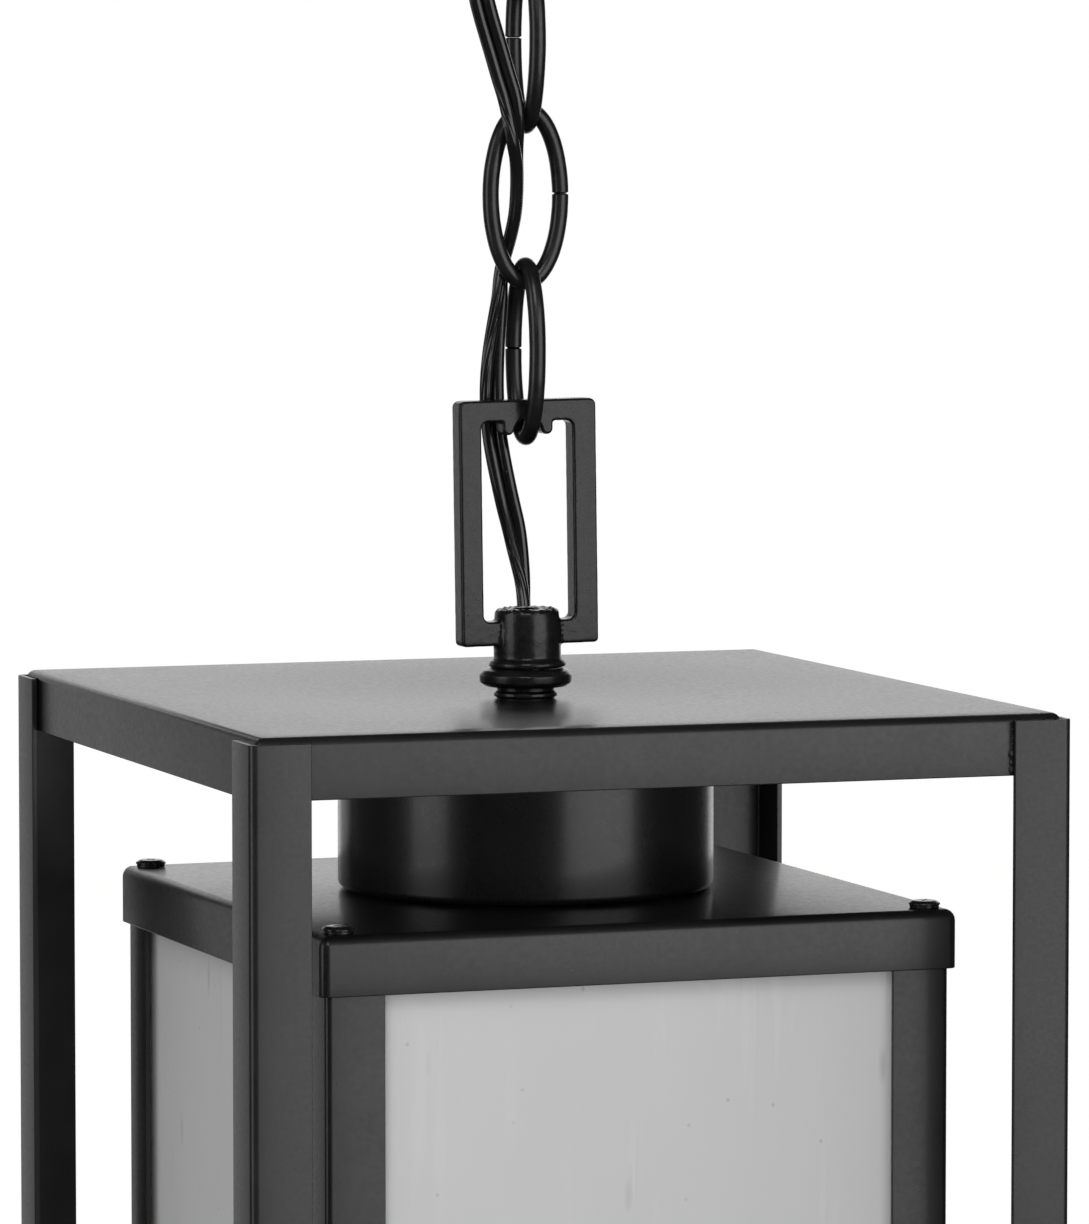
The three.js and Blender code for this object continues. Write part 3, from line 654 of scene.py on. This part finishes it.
def link_mesh(name, size):
    """An oval link in the XZ plane, split on its +X side, with its two ends eased."""
    width, length = size
    reach_x = (width - WIRE) / 2
    reach_z = (length - WIRE) / 2
    split = LINK_SPLIT / 2 / reach_z
    raised = SPLIT_RAISE / reach_z
    full = WIRE / 2
    tip = full - SPLIT_CHAMFER
    ends = {
        0: [(tip, 0), (full, SPLIT_CHAMFER / 2)],
        LINK_STEPS: [(full, -SPLIT_CHAMFER / 2), (tip, 0)],
    }
    bm = bmesh.new()
    rings = []
    for i in range(LINK_STEPS + 1):
        angle = raised + split + (2 * math.pi - 2 * split) * i / LINK_STEPS
        middle = Vector((reach_x * math.cos(angle), 0, reach_z * math.sin(angle)))
        along = Vector((-reach_x * math.sin(angle), 0, reach_z * math.cos(angle)))
        along.normalize()
        out = Vector((0, 1, 0))
        side = along.cross(out)
        for radius, shift in ends.get(i, [(full, 0)]):
            centre = middle + along * shift
            turns = (2 * math.pi * j / LINK_SIDES for j in range(LINK_SIDES))
            rings.append([
                bm.verts.new(centre + (out * math.cos(t) + side * math.sin(t)) * radius)
                for t in turns
            ])
    join_rings(bm, rings, closed=False)
    bm.faces.new(rings[0])
    bm.faces.new(rings[-1])
    return to_object(name, bm, "black_chain")


LINKS = [("link_top", "top_link", 3.1), ("link_middle", "middle_link", 7.7),
         ("link_bottom", "bottom_link", 12.9)]  # node, body and noise seed
WIRE_SWELLS = [(6, 0.05), (2, 0.02)]


def make_chain():
    for name, body, seed in LINKS:
        low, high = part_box(name)
        extent = high - low
        upright = extent.y > extent.x
        size = (max(extent.x, extent.y), extent.z)
        link = link_mesh("oval_" + name, size)
        roughened(link, WIRE_SWELLS, seed)
        turn = quarter_turn(1) if upright else Matrix.Identity(4)
        bring(link, lifted(LINK_Z[name]) @ turn)
        stands_for(link, body, name)


make_chain()

# ------------------------------------------------------------------ cast loops

LOOP_THICKNESS = 6.0
LOOP_EDGE = 0.5
LOOP_BOTTOM = 11.2
LOOP_TOP = 70.3
WINDOW = {"left": 11.8, "right": 11.4, "bottom": 17.0, "top": 65.1, "corner": 1.6}
NOTCH = {"radius": 3.65, "centre": 62.15}
NUB = {"width": 2.9, "bottom": 61.8}
HUB = {"radius": 8.15, "bottom": 5.7, "top": 19.8}
HUB_PROFILE = [  # radius, height and rounding, as in all the turned pieces
    (AXIS, HUB["bottom"], 0), (9.1, HUB["bottom"], 0.3), (9.35, 6.3, 0.4), (9.2, 7.1, 0.6),
    (HUB["radius"], 7.9, 0.6), (HUB["radius"], 13.0, 0), (7.75, HUB["top"], 1.3),
    (AXIS, HUB["top"], 0),
]
LEAN = math.radians(-0.8)  # the lantern's loop leans a little on its threaded stem
LEAN_HEIGHT = mm(40)  # it turns about a point this far above the plate
STEM_HOLE = 5.15
STEM_IN_HUB = 15.0  # height where the stem's hole ends
STEM_BORE = 3.2  # the cord's way out, above that
SEAM_X = math.sqrt(HUB["radius"] ** 2 - (LOOP_THICKNESS / 2) ** 2)  # bar meets hub
VOXEL = mm(0.33)
RIM_LUMPS = {"reach": 1.2, "depth": 0.5}
SEAM_LUMPS = {"reach": 0.9, "depth": 0.75, "low": 12.0, "high": 17.5, "beyond": 0.25}
LUMP_SIZE = 0.9
SWELL = {"size": 1.8, "depth": 0.03}


def arc_points(x, y, radius, start, end, steps=8):
    """Points of an arc, in mm, with its angles in radians."""
    angles = (start + (end - start) * i / steps for i in range(steps + 1))
    return [(x + radius * math.cos(a), y + radius * math.sin(a)) for a in angles]


def window_outline():
    """The window, with the half-round seat for the link and the nubs beside it."""
    level = NUB["bottom"] + NUB["width"] / 2
    seat = math.asin((level - NOTCH["centre"]) / NOTCH["radius"])
    nub = NOTCH["radius"] * math.cos(seat) + NUB["width"] / 2
    left, right, corner = WINDOW["left"], WINDOW["right"], WINDOW["corner"]
    low, high = WINDOW["bottom"] + corner, WINDOW["top"] - corner
    quarter = math.pi / 2
    return [
        *arc_points(right - corner, low, corner, -quarter, 0),
        *arc_points(right - corner, high, corner, 0, quarter),
        (nub + NUB["width"] / 2, WINDOW["top"]),
        *arc_points(nub, level, NUB["width"] / 2, 0, -math.pi),
        *arc_points(0, NOTCH["centre"], NOTCH["radius"], seat, math.pi - seat, 14)[1:-1],
        *arc_points(-nub, level, NUB["width"] / 2, 0, -math.pi),
        (-nub - NUB["width"] / 2, WINDOW["top"]),
        *arc_points(-left + corner, high, corner, quarter, 2 * quarter),
        *arc_points(-left + corner, low, corner, 2 * quarter, 3 * quarter),
    ]


def combined(base, other, operation):
    """Joins or cuts base by other, which is used up."""
    applied(base, ("BOOLEAN", {"operation": operation, "object": other, "solver": "EXACT"}))
    bpy.data.objects.remove(other)
    return base


def loop_casting():
    """A mesh of the cast loop with its hub and bore, as one rough casting."""
    half = (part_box("lantern_loop")[1].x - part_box("lantern_loop")[0].x) / 2 / MM
    outline = rounded([
        (-half, LOOP_BOTTOM, 1.0), (half, LOOP_BOTTOM, 1.0),
        (half, LOOP_TOP, 1.6), (-half, LOOP_TOP, 1.6),
    ], steps=8)
    bar = extruded("loop", outline, LOOP_THICKNESS, "black_casting")
    window = extruded("window", window_outline(), 3 * LOOP_THICKNESS, "black_casting")
    bring(window, lifted(mm(-LOOP_THICKNESS)))
    combined(bar, window, "DIFFERENCE")
    stand = Matrix.Rotation(math.pi / 2, 4, "X") @ lifted(mm(-LOOP_THICKNESS / 2))
    bring(bar, stand)
    applied(bar, ("BEVEL", {
        "width": mm(LOOP_EDGE), "segments": 3, "limit_method": "ANGLE",
        "angle_limit": math.radians(50),
    }))
    hub = revolved("hub", HUB_PROFILE, 64, "black_casting")
    loop = combined(bar, hub, "UNION")
    over = 2.0
    bottom = HUB["bottom"]
    for radius, end in ((STEM_HOLE, STEM_IN_HUB), (STEM_BORE, HUB["top"] + over)):
        start = bottom - over
        bore = revolved("bore", [
            (AXIS, start, 0), (radius, start, 0), (radius, end, 0), (AXIS, end, 0),
        ], 48, "black_casting")
        combined(loop, bore, "DIFFERENCE")
    applied(loop, ("REMESH", {"mode": "VOXEL", "voxel_size": VOXEL}))
    applied(loop, ("SMOOTH", {"factor": 0.5, "iterations": 3}))
    casting = loop.data
    bpy.data.objects.remove(loop)
    cast_texture(casting)
    return casting


def cast_texture(mesh):
    """Slight swells all over, and lumps on the hub's rim and where the bar meets the hub."""
    normals = [vertex.normal.copy() for vertex in mesh.vertices]
    for vertex, normal in zip(mesh.vertices, normals):
        place = vertex.co / MM
        across = math.hypot(place.x, place.y)
        at_rim = max(0.0, 1 - abs(place.z - HUB["top"]) / RIM_LUMPS["reach"])
        at_rim *= STEM_BORE + 1 < across < HUB["radius"] + 0.5
        from_seam = math.hypot(abs(place.x) - SEAM_X, place.y + LOOP_THICKNESS / 2)
        at_seam = max(0.0, 1 - from_seam / SEAM_LUMPS["reach"])
        if not SEAM_LUMPS["low"] < place.z < SEAM_LUMPS["high"]:
            at_seam *= SEAM_LUMPS["beyond"]
        share = SEAM_LUMPS["depth"] * at_seam + RIM_LUMPS["depth"] * at_rim
        lump = max(0.0, noise.noise(place / LUMP_SIZE)) * share
        move = SWELL["depth"] * noise.noise(place / SWELL["size"]) + lump
        if across < STEM_BORE + 0.6 or place.z < HUB["bottom"] + 1.0:
            move = 0.0
        vertex.co += normal * move * MM


COLLAR_PROFILE = [
    (STEM_HOLE, 1.1, 0), (9.6, 1.1, 0.5), (11.1, 2.0, 1.0), (11.15, 4.0, 0.9),
    (10.3, 5.0, 0.6), (9.0, 5.5, 0.2), (STEM_HOLE, 5.5, 0),
]
SEAT_PROFILE = [
    (STEM_HOLE, -1.9, 0), (7.0, -1.9, 0), (7.0, -1.7, 0.1), (7.7, -1.2, 0.4), (7.6, -0.4, 0.4),
    (6.9, 0.1, 0.2), (6.9, 0.9, 0), (STEM_HOLE, 0.9, 0),
]
TURNED_SWELLS = [(3, 0.03)]


def make_loops():
    """The same casting and collar on the lantern and, upside down, under the canopy."""
    upside_down = Matrix.Rotation(math.pi, 4, "X")
    upright = Matrix.Identity(4)
    lean = lifted(LEAN_HEIGHT) @ Matrix.Rotation(LEAN, 4, "Y") @ lifted(-LEAN_HEIGHT)
    places = (
        ("lantern", "lantern_body", lifted(PLATE_Z), lean),
        ("canopy", "canopy_body", lifted(CANOPY_Z) @ upside_down, upright),
    )
    casting = loop_casting()
    for owner, body, place, tilt in places:
        name = "cast_" + owner + "_loop"
        loop = place_mesh(name, casting.copy(), "black_casting", creased=False)
        stands_for(bring(loop, place @ tilt), body, owner + "_loop")
        collar = revolved("round_" + owner + "_collar", COLLAR_PROFILE, 72, "black_casting")
        roughened(collar, TURNED_SWELLS, seed=5.0)
        stands_for(bring(collar, place), body, owner + "_collar")
    seat = revolved("round_seat_ring", SEAT_PROFILE, 72, "black_casting")
    roughened(seat, TURNED_SWELLS, seed=9.0)
    stands_for(bring(seat, lifted(PLATE_Z)), "lantern_body", "seat_ring")


make_loops()

# ------------------------------------------------------------------ outer frame

FRAME_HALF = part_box("outer_post_front_right")[1].x / MM
FRAME_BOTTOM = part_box("outer_post_front_right")[0].z
POST_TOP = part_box("outer_post_front_right")[1].z
ANGLE_LEG = 14.4
FRAME_SHEET = 1.4
BEND_RADIUS = 1.8
PLATE_BEND = 2.5  # the thick coating makes the plate's folds rounder
PLATE_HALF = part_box("top_plate")[1].x / MM
CORNERS = ["front_left", "front_right", "back_right", "back_left"]
SIDES = ["front", "right", "back", "left"]
DISH_DEPTH = 1.95
DISH_REACH = 94.0
DISH_CUTS = 14
FLAT_AREA = 1e-4  # square metres: each face of the plate's large flats has more
POST_EASE = 0.25
PLATE_HOLE = 5.2


def dished(obj):
    """Presses the flat of the plate down towards its middle, as the clamped sheet is."""
    bm = bmesh.new()
    bm.from_mesh(obj.data)
    level = [face for face in bm.faces if abs(face.normal.z) > 0.999]
    flats = [face for face in level if face.calc_area() > FLAT_AREA]
    edges = list({edge for face in flats for edge in face.edges})
    bmesh.ops.subdivide_edges(bm, edges=edges, cuts=DISH_CUTS, use_grid_fill=True)
    for vertex in bm.verts:
        across = math.hypot(vertex.co.x, vertex.co.y) / MM
        if across < DISH_REACH and vertex.co.z / MM > -FRAME_SHEET - 0.01:
            vertex.co.z -= mm(DISH_DEPTH) * math.cos(math.pi / 2 * across / DISH_REACH) ** 2
    bm.to_mesh(obj.data)
    bm.free()
    return obj


def make_frame():
    """The top plate, and the same folded angle as four posts and four bottom rails."""
    plate = pan("folded_top_plate", PLATE_HALF, 0, ANGLE_LEG, FRAME_SHEET, PLATE_BEND,
                corner=FRAME_SHEET, opening=PLATE_HOLE, slot="powder_coat")
    stands_for(bring(dished(plate), lifted(PLATE_Z)), "lantern_body", "top_plate")
    section = angle_section(ANGLE_LEG, FRAME_SHEET, BEND_RADIUS)
    height = (POST_TOP - FRAME_BOTTOM) / MM
    for quarter, corner in enumerate(CORNERS):
        post = extruded("folded_outer_post_" + corner, section, height, "powder_coat")
        to_corner = Matrix.Translation((-FRAME_HALF * MM, -FRAME_HALF * MM, FRAME_BOTTOM))
        bring(post, quarter_turn(quarter) @ to_corner)
        stands_for(eased(post, POST_EASE), "lantern_body", "outer_post_" + corner)
    for quarter, side in enumerate(SIDES):
        low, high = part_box("bottom_rail_" + side)
        length = max(high.x - low.x, high.y - low.y)
        rail = extruded("folded_bottom_rail_" + side, section, length / MM, "powder_coat")
        # the section's own axes become inward and up, and its length runs along the side
        lay = Matrix(((0, 0, 1, 0), (1, 0, 0, 0), (0, 1, 0, 0), (0, 0, 0, 1)))
        to_side = Matrix.Translation((-length / 2, -PLATE_HALF * MM, FRAME_BOTTOM))
        bring(rail, quarter_turn(quarter) @ to_side @ lay)
        stands_for(eased(rail, POST_EASE), "lantern_body", "bottom_rail_" + side)


WELD_LOW = -13.9
WELD_HIGH = -3.4
WELD_SIZE = 0.42  # radius of its small lumps
WELD_STEP = 0.5
WELD_LUMPS = [(-9.3, 0.95), (-11.4, 0.65), (-13.1, 0.8)]  # height and radius of the large ones


def weld_bead(name, low, high, seed):
    """A short uneven weld bead up the seam beside a corner post, in mm."""
    rng = random.Random(seed)
    bm = bmesh.new()
    x = FRAME_HALF - ANGLE_LEG
    lumps = [(x - 0.25, z, radius) for z, radius in WELD_LUMPS]
    z = low
    while z < high:
        lumps.append((x + rng.uniform(-0.3, 0.1), z, WELD_SIZE * rng.uniform(0.7, 1.3)))
        z += WELD_STEP * rng.uniform(0.9, 1.8)
    for x, z, radius in lumps:
        spot = Vector((x, -PLATE_HALF - 0.05, z)) * MM
        ball = bmesh.ops.create_icosphere(bm, subdivisions=2, radius=radius * MM)
        squeeze = Vector((1, 0.6, rng.uniform(0.9, 1.2)))
        for vertex in ball["verts"]:
            vertex.co = spot + Vector(a * b for a, b in zip(vertex.co, squeeze))
    bead = to_object(name, bm, "powder_coat")
    applied(bead, ("REMESH", {"mode": "VOXEL", "voxel_size": mm(0.12)}))
    applied(bead, ("SMOOTH", {"factor": 0.5, "iterations": 3}))
    finish(bead.data, "powder_coat", creased=False)
    return bead


def make_welds():
    """Beads on the seams of two opposite posts: the other seams are ground flush."""
    for quarter, where in ((0, "front"), (2, "back")):
        bead = weld_bead("weld_bead_" + where, WELD_LOW, WELD_HIGH, seed=quarter + 11)
        bring(bead, quarter_turn(quarter) @ lifted(PLATE_Z))
        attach(bead, "lantern_body")


make_frame()
make_welds()

# ------------------------------------------------------------------ spacer drum

DRUM_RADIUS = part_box("spacer_drum")[1].x / MM
DRUM_TOP = -FRAME_SHEET - DISH_DEPTH  # it meets the pressed plate
DRUM_BOTTOM = (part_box("spacer_drum")[0].z - PLATE_Z) / MM
DRUM_WALL = 1.0
DRUM_EDGE = 2.0


def make_drum():
    """The round cup between the plate and the glass lantern, open side up."""
    inner = DRUM_RADIUS - DRUM_WALL
    drum = revolved("drawn_spacer_drum", [
        (STEM_HOLE, DRUM_BOTTOM, 0), (DRUM_RADIUS, DRUM_BOTTOM, DRUM_EDGE),
        (DRUM_RADIUS, DRUM_TOP, 0), (inner, DRUM_TOP, 0),
        (inner, DRUM_BOTTOM + DRUM_WALL, DRUM_EDGE - DRUM_WALL),
        (STEM_HOLE, DRUM_BOTTOM + DRUM_WALL, 0),
    ], 128, "powder_coat")
    drum.data.materials[0] = powder_coat("smoother powder coat", 0.27, 0.33, 0.0015)
    stands_for(bring(drum, lifted(PLATE_Z)), "lantern_body", "spacer_drum")


make_drum()

# ------------------------------------------------------------------ glass lantern

CAGE_SHIFT = Matrix.Translation((mm(0.55), 0, 0))  # it sits slightly to the right
CAGE_TURN = Matrix.Rotation(math.radians(0.9), 4, "Z")  # and slightly turned
CAP_HALF = 78.95
CAP_TOP = -47.7
CAP_HEIGHT = 14.0
CAP_CORNER = 2.2
CAP_HOLE = 5.4
CAGE_SHEET = 1.0
CAGE_BEND = 2.7
CAGE_HALF = 77.35
CAGE_LEG = 14.3
CAGE_POST_BEND = 1.5
CAGE_EASE = 0.15
CAGE_BOTTOM = -358.0
BASE_OPENING = 58.0
GLASS_FACE = 74.6
GLASS_THICKNESS = 3.0
GLASS_EASE = 0.3
GLASS_HALF = 71.1
PANE_LINES = (28, 60)
PANE_WAVE = 0.12
SCREW_AT = 72.9
SHANK_RADIUS = 2.0
NECK_RADIUS = 3.5
HEAD_RADIUS = 3.75
CROWN_RADIUS = 2.7
HEAD_LOWERED = 0.45
RECESS = {"depth": 1.1, "reach": 1.75, "width": 0.75}
RECESS_TAPER = 0.45


def caged(obj):
    """Turns a piece of the glass lantern into its place under the plate."""
    return bring(obj, lifted(PLATE_Z) @ CAGE_SHIFT @ CAGE_TURN)


def make_cage():
    """The cap, the base, which is a like pan the other way up, and the four posts."""
    cap = pan("folded_cage_cap", CAP_HALF, CAP_TOP, CAP_HEIGHT, CAGE_SHEET, CAGE_BEND,
              corner=CAP_CORNER, opening=CAP_HOLE, slot="powder_coat")
    stands_for(caged(cap), "lantern_body", "cage_cap")
    base = pan("folded_cage_base", CAP_HALF, -CAGE_BOTTOM, CAP_HEIGHT, CAGE_SHEET, CAGE_BEND,
               corner=CAP_CORNER, opening=BASE_OPENING, slot="powder_coat")
    bring(base, Matrix.Diagonal((1, -1, -1, 1)))
    stands_for(caged(base), "lantern_body", "cage_base")
    section = angle_section(CAGE_LEG, CAGE_SHEET, CAGE_POST_BEND)
    for quarter, corner in enumerate(CORNERS):
        low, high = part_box("cage_post_" + corner)
        length = (high.z - low.z) / MM
        post = extruded("folded_cage_post_" + corner, section, length, "powder_coat")
        to_corner = Matrix.Translation((-CAGE_HALF * MM, -CAGE_HALF * MM, low.z - PLATE_Z))
        bring(post, quarter_turn(quarter) @ to_corner)
        stands_for(caged(eased(post, CAGE_EASE)), "lantern_body", "cage_post_" + corner)


def pane_mesh(name, low, high):
    """A pane with slightly wavy faces, in mm, facing -Y."""
    across, up = PANE_LINES
    bm = bmesh.new()
    grids = []
    for side, face in ((-1, -GLASS_FACE), (1, -GLASS_FACE + GLASS_THICKNESS)):
        grid = []
        for j in range(up + 1):
            z = low + (high - low) * j / up
            row = []
            for i in range(across + 1):
                x = -GLASS_HALF + 2 * GLASS_HALF * i / across
                at_edge = i in (0, across) or j in (0, up)
                swell = noise.noise(Vector((x / 16, side * 4, z / 30)))
                wave = 0 if at_edge else swell * PANE_WAVE
                row.append(bm.verts.new(Vector((x, face + wave, z)) * MM))
            grid.append(row)
        grids.append(grid)
    rims = []
    for grid in grids:
        join_strips(bm, grid)
        rim = grid[0] + [row[-1] for row in grid[1:]]
        rim += list(reversed(grid[-1]))[1:] + [row[0] for row in reversed(grid[1:-1])]
        rims.append(rim)
    join_rings(bm, rims, closed=False)
    return to_object(name, bm, "etched_glass")


def join_strips(bm, grid):
    """Faces over a grid of vertices, given as rows."""
    for low, high in zip(grid, grid[1:]):
        for i in range(len(low) - 1):
            bm.faces.new((low[i], low[i + 1], high[i + 1], high[i]))


def make_glass():
    """Four panes, in the order of SIDES."""
    for quarter, side in enumerate(SIDES):
        low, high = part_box("glass_" + side)
        pane = pane_mesh("seeded_glass_" + side, (low.z - PLATE_Z) / MM, (high.z - PLATE_Z) / MM)
        bring(pane, quarter_turn(quarter))
        stands_for(caged(eased(pane, GLASS_EASE)), "lantern_body", "glass_" + side)


def recess_blade(depth, reach, width):
    """A tapered blade with its top above Z 0: two of them cut the cross of a screw, mm."""
    bm = bmesh.new()
    for vertex in bmesh.ops.create_cube(bm, size=1)["verts"]:
        at_top = vertex.co.z > 0
        taper = 1.0 if at_top else RECESS_TAPER
        height = 0.5 if at_top else -depth
        x = vertex.co.x * 2 * reach * taper
        y = vertex.co.y * width * taper
        vertex.co = Vector((x, y, height)) * MM
    return to_object("recess", bm, "black_screw")


def make_screws():
    """Pan-head screws through the cap's corners."""
    low = (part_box("cap_screw_front_left")[0].z - PLATE_Z) / MM
    top = (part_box("cap_screw_front_left")[1].z - PLATE_Z) / MM - HEAD_LOWERED
    seat = CAP_TOP + 0.05
    for quarter, corner in enumerate(CORNERS):
        screw = revolved("pan_head_screw_" + corner, [
            (AXIS, low, 0), (SHANK_RADIUS, low, 0.3), (SHANK_RADIUS, seat, 0),
            (NECK_RADIUS, seat, 0.15), (NECK_RADIUS, CAP_TOP + 0.65, 0.15),
            (HEAD_RADIUS, CAP_TOP + 0.8, 0.15), (HEAD_RADIUS, top - 0.6, 0.35),
            (CROWN_RADIUS, top, 0.7), (AXIS, top, 0),
        ], 56, "black_screw")
        for turn in (0, 90):
            blade = recess_blade(**RECESS)
            # each screw stopped at an angle of its own
            angle = Matrix.Rotation(math.radians(17 + 31 * quarter + turn), 4, "Z")
            combined(screw, bring(blade, lifted(mm(top)) @ angle), "DIFFERENCE")
        finish(screw.data, "black_screw")
        to_corner = Matrix.Translation((-SCREW_AT * MM, -SCREW_AT * MM, 0))
        bring(screw, quarter_turn(quarter) @ to_corner)
        stands_for(caged(screw), "lantern_body", "cap_screw_" + corner)


make_cage()
make_glass()
make_screws()

# ------------------------------------------------------------------ canopy

CANOPY_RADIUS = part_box("canopy")[1].x / MM
CANOPY_HEIGHT = -CANOPY_Z / MM
CANOPY_SHEET = 1.2
CANOPY_BEND = 6.0


def make_canopy():
    """The round pan against the ceiling, open side up."""
    inner = CANOPY_RADIUS - CANOPY_SHEET
    canopy = revolved("spun_canopy", [
        (STEM_HOLE, -CANOPY_HEIGHT, 0), (CANOPY_RADIUS, -CANOPY_HEIGHT, CANOPY_BEND),
        (CANOPY_RADIUS, 0, 0.2), (inner, 0, 0.2),
        (inner, -CANOPY_HEIGHT + CANOPY_SHEET, CANOPY_BEND - CANOPY_SHEET),
        (STEM_HOLE, -CANOPY_HEIGHT + CANOPY_SHEET, 0),
    ], 128, "powder_coat")
    stands_for(canopy, "canopy_body", "canopy")


make_canopy()

# ------------------------------------------------------------------ CAD nodes that stay

for entry in frame["record"]["subparts"]:
    node = frame["nodes"][entry["node"]]
    if not node.hide_render:
        finish(node.data, entry["material_slot"])

# ------------------------------------------------------------------ studio

FLOOR_Z = -3.6
FLOOR_RADIUS = 30.0
FLOOR_SIDES = 64
FLOOR_GLOW = 0.6  # it reads as white as the surroundings, and no horizon shows
WORLD_LIGHT = {"seen": 1.0, "glossy": 0.05, "other": 0.5}
# name, azimuth, elevation, distance, size, brightness and what the light leaves out
LIGHTS = [
    ("backdrop", 158, 0, 2.6, (2.6, 3.0), 1.06, {}),
    ("low back glow", 150, 4, 2.5, (2.2, 0.9), 0.12, {}),
    ("back left", 200, 0, 2.6, (1.2, 1.6), 0.42, {}),
    ("front panel", 27, 4, 2.4, (2.0, 1.8), 1.9, {"fills": False}),
    ("upper key", -20, 38, 2.2, (0.9, 0.8), 3.2, {}),
    ("near fill", -31, 0, 0.45, (0.3, 0.5), 1.5, {"shines": False}),
    ("left strip", -80, 8, 2.0, (0.9, 1.6), 1.7, {"fills": False}),
]


def make_floor():
    """A wide pale floor far below, which lights nothing."""
    paint = Paint("pale floor", (0.9, 0.9, 0.89), 0.7)
    paint.tint(paint.noise(3, detail=2), (0.89, 0.89, 0.88), (0.91, 0.91, 0.90))
    paint.set("Emission Color", (1, 1, 1, 1))
    paint.set("Emission Strength", FLOOR_GLOW)
    bm = bmesh.new()
    bmesh.ops.create_circle(bm, cap_ends=True, radius=FLOOR_RADIUS, segments=FLOOR_SIDES)
    mesh = bpy.data.meshes.new("floor")
    bm.to_mesh(mesh)
    bm.free()
    mesh.materials.append(paint.material)
    floor = bpy.data.objects.new("floor", mesh)
    floor.location.z = FLOOR_Z
    floor.visible_glossy = False
    floor.visible_diffuse = False
    bpy.context.scene.collection.objects.link(floor)


def soft_box(name, azimuth, elevation, distance, size, brightness, fills=True, shines=True):
    """A rectangular light aimed at the lantern. Azimuth 0 is in front, 90 to the right.

    A light that fills gives matt light, and one that shines is seen in glossy surfaces.
    """
    around, up = math.radians(azimuth), math.radians(elevation)
    level = math.cos(up)
    back = Vector((math.sin(around) * level, -math.cos(around) * level, math.sin(up)))
    data = bpy.data.lights.new(name, "AREA")
    data.shape = "RECTANGLE"
    data.size, data.size_y = size
    data.energy = brightness * math.pi * size[0] * size[1]
    light = bpy.data.objects.new(name, data)
    light.location = Vector((0, 0, PLATE_Z)) + back * distance
    light.rotation_mode = "QUATERNION"
    light.rotation_quaternion = back.to_track_quat("Z", "Y")
    light.visible_camera = False
    light.visible_diffuse = fills
    light.visible_glossy = shines
    bpy.context.scene.collection.objects.link(light)


def make_studio():
    """White surroundings, dim in reflections, and the lights."""
    scene = bpy.context.scene
    world = bpy.data.worlds.new("studio")
    world.use_nodes = True
    nodes, links = world.node_tree.nodes, world.node_tree.links
    background = nodes["Background"]
    background.inputs["Color"].default_value = (1, 1, 1, 1)
    path = nodes.new("ShaderNodeLightPath")
    strength = None
    for ray, kind in (("Is Camera Ray", "seen"), ("Is Glossy Ray", "glossy")):
        change = nodes.new("ShaderNodeMath")
        change.operation = "MULTIPLY_ADD"
        change.inputs[1].default_value = WORLD_LIGHT[kind] - WORLD_LIGHT["other"]
        change.inputs[2].default_value = WORLD_LIGHT["other"]
        links.new(path.outputs[ray], change.inputs[0])
        if strength is not None:
            links.new(strength, change.inputs[2])
        strength = change.outputs["Value"]
    links.new(strength, background.inputs["Strength"])
    scene.world = world
    scene.view_settings.view_transform = "Standard"
    scene.view_settings.look = "None"
    for *light, left_out in LIGHTS:
        soft_box(*light, **left_out)


make_floor()
make_studio()
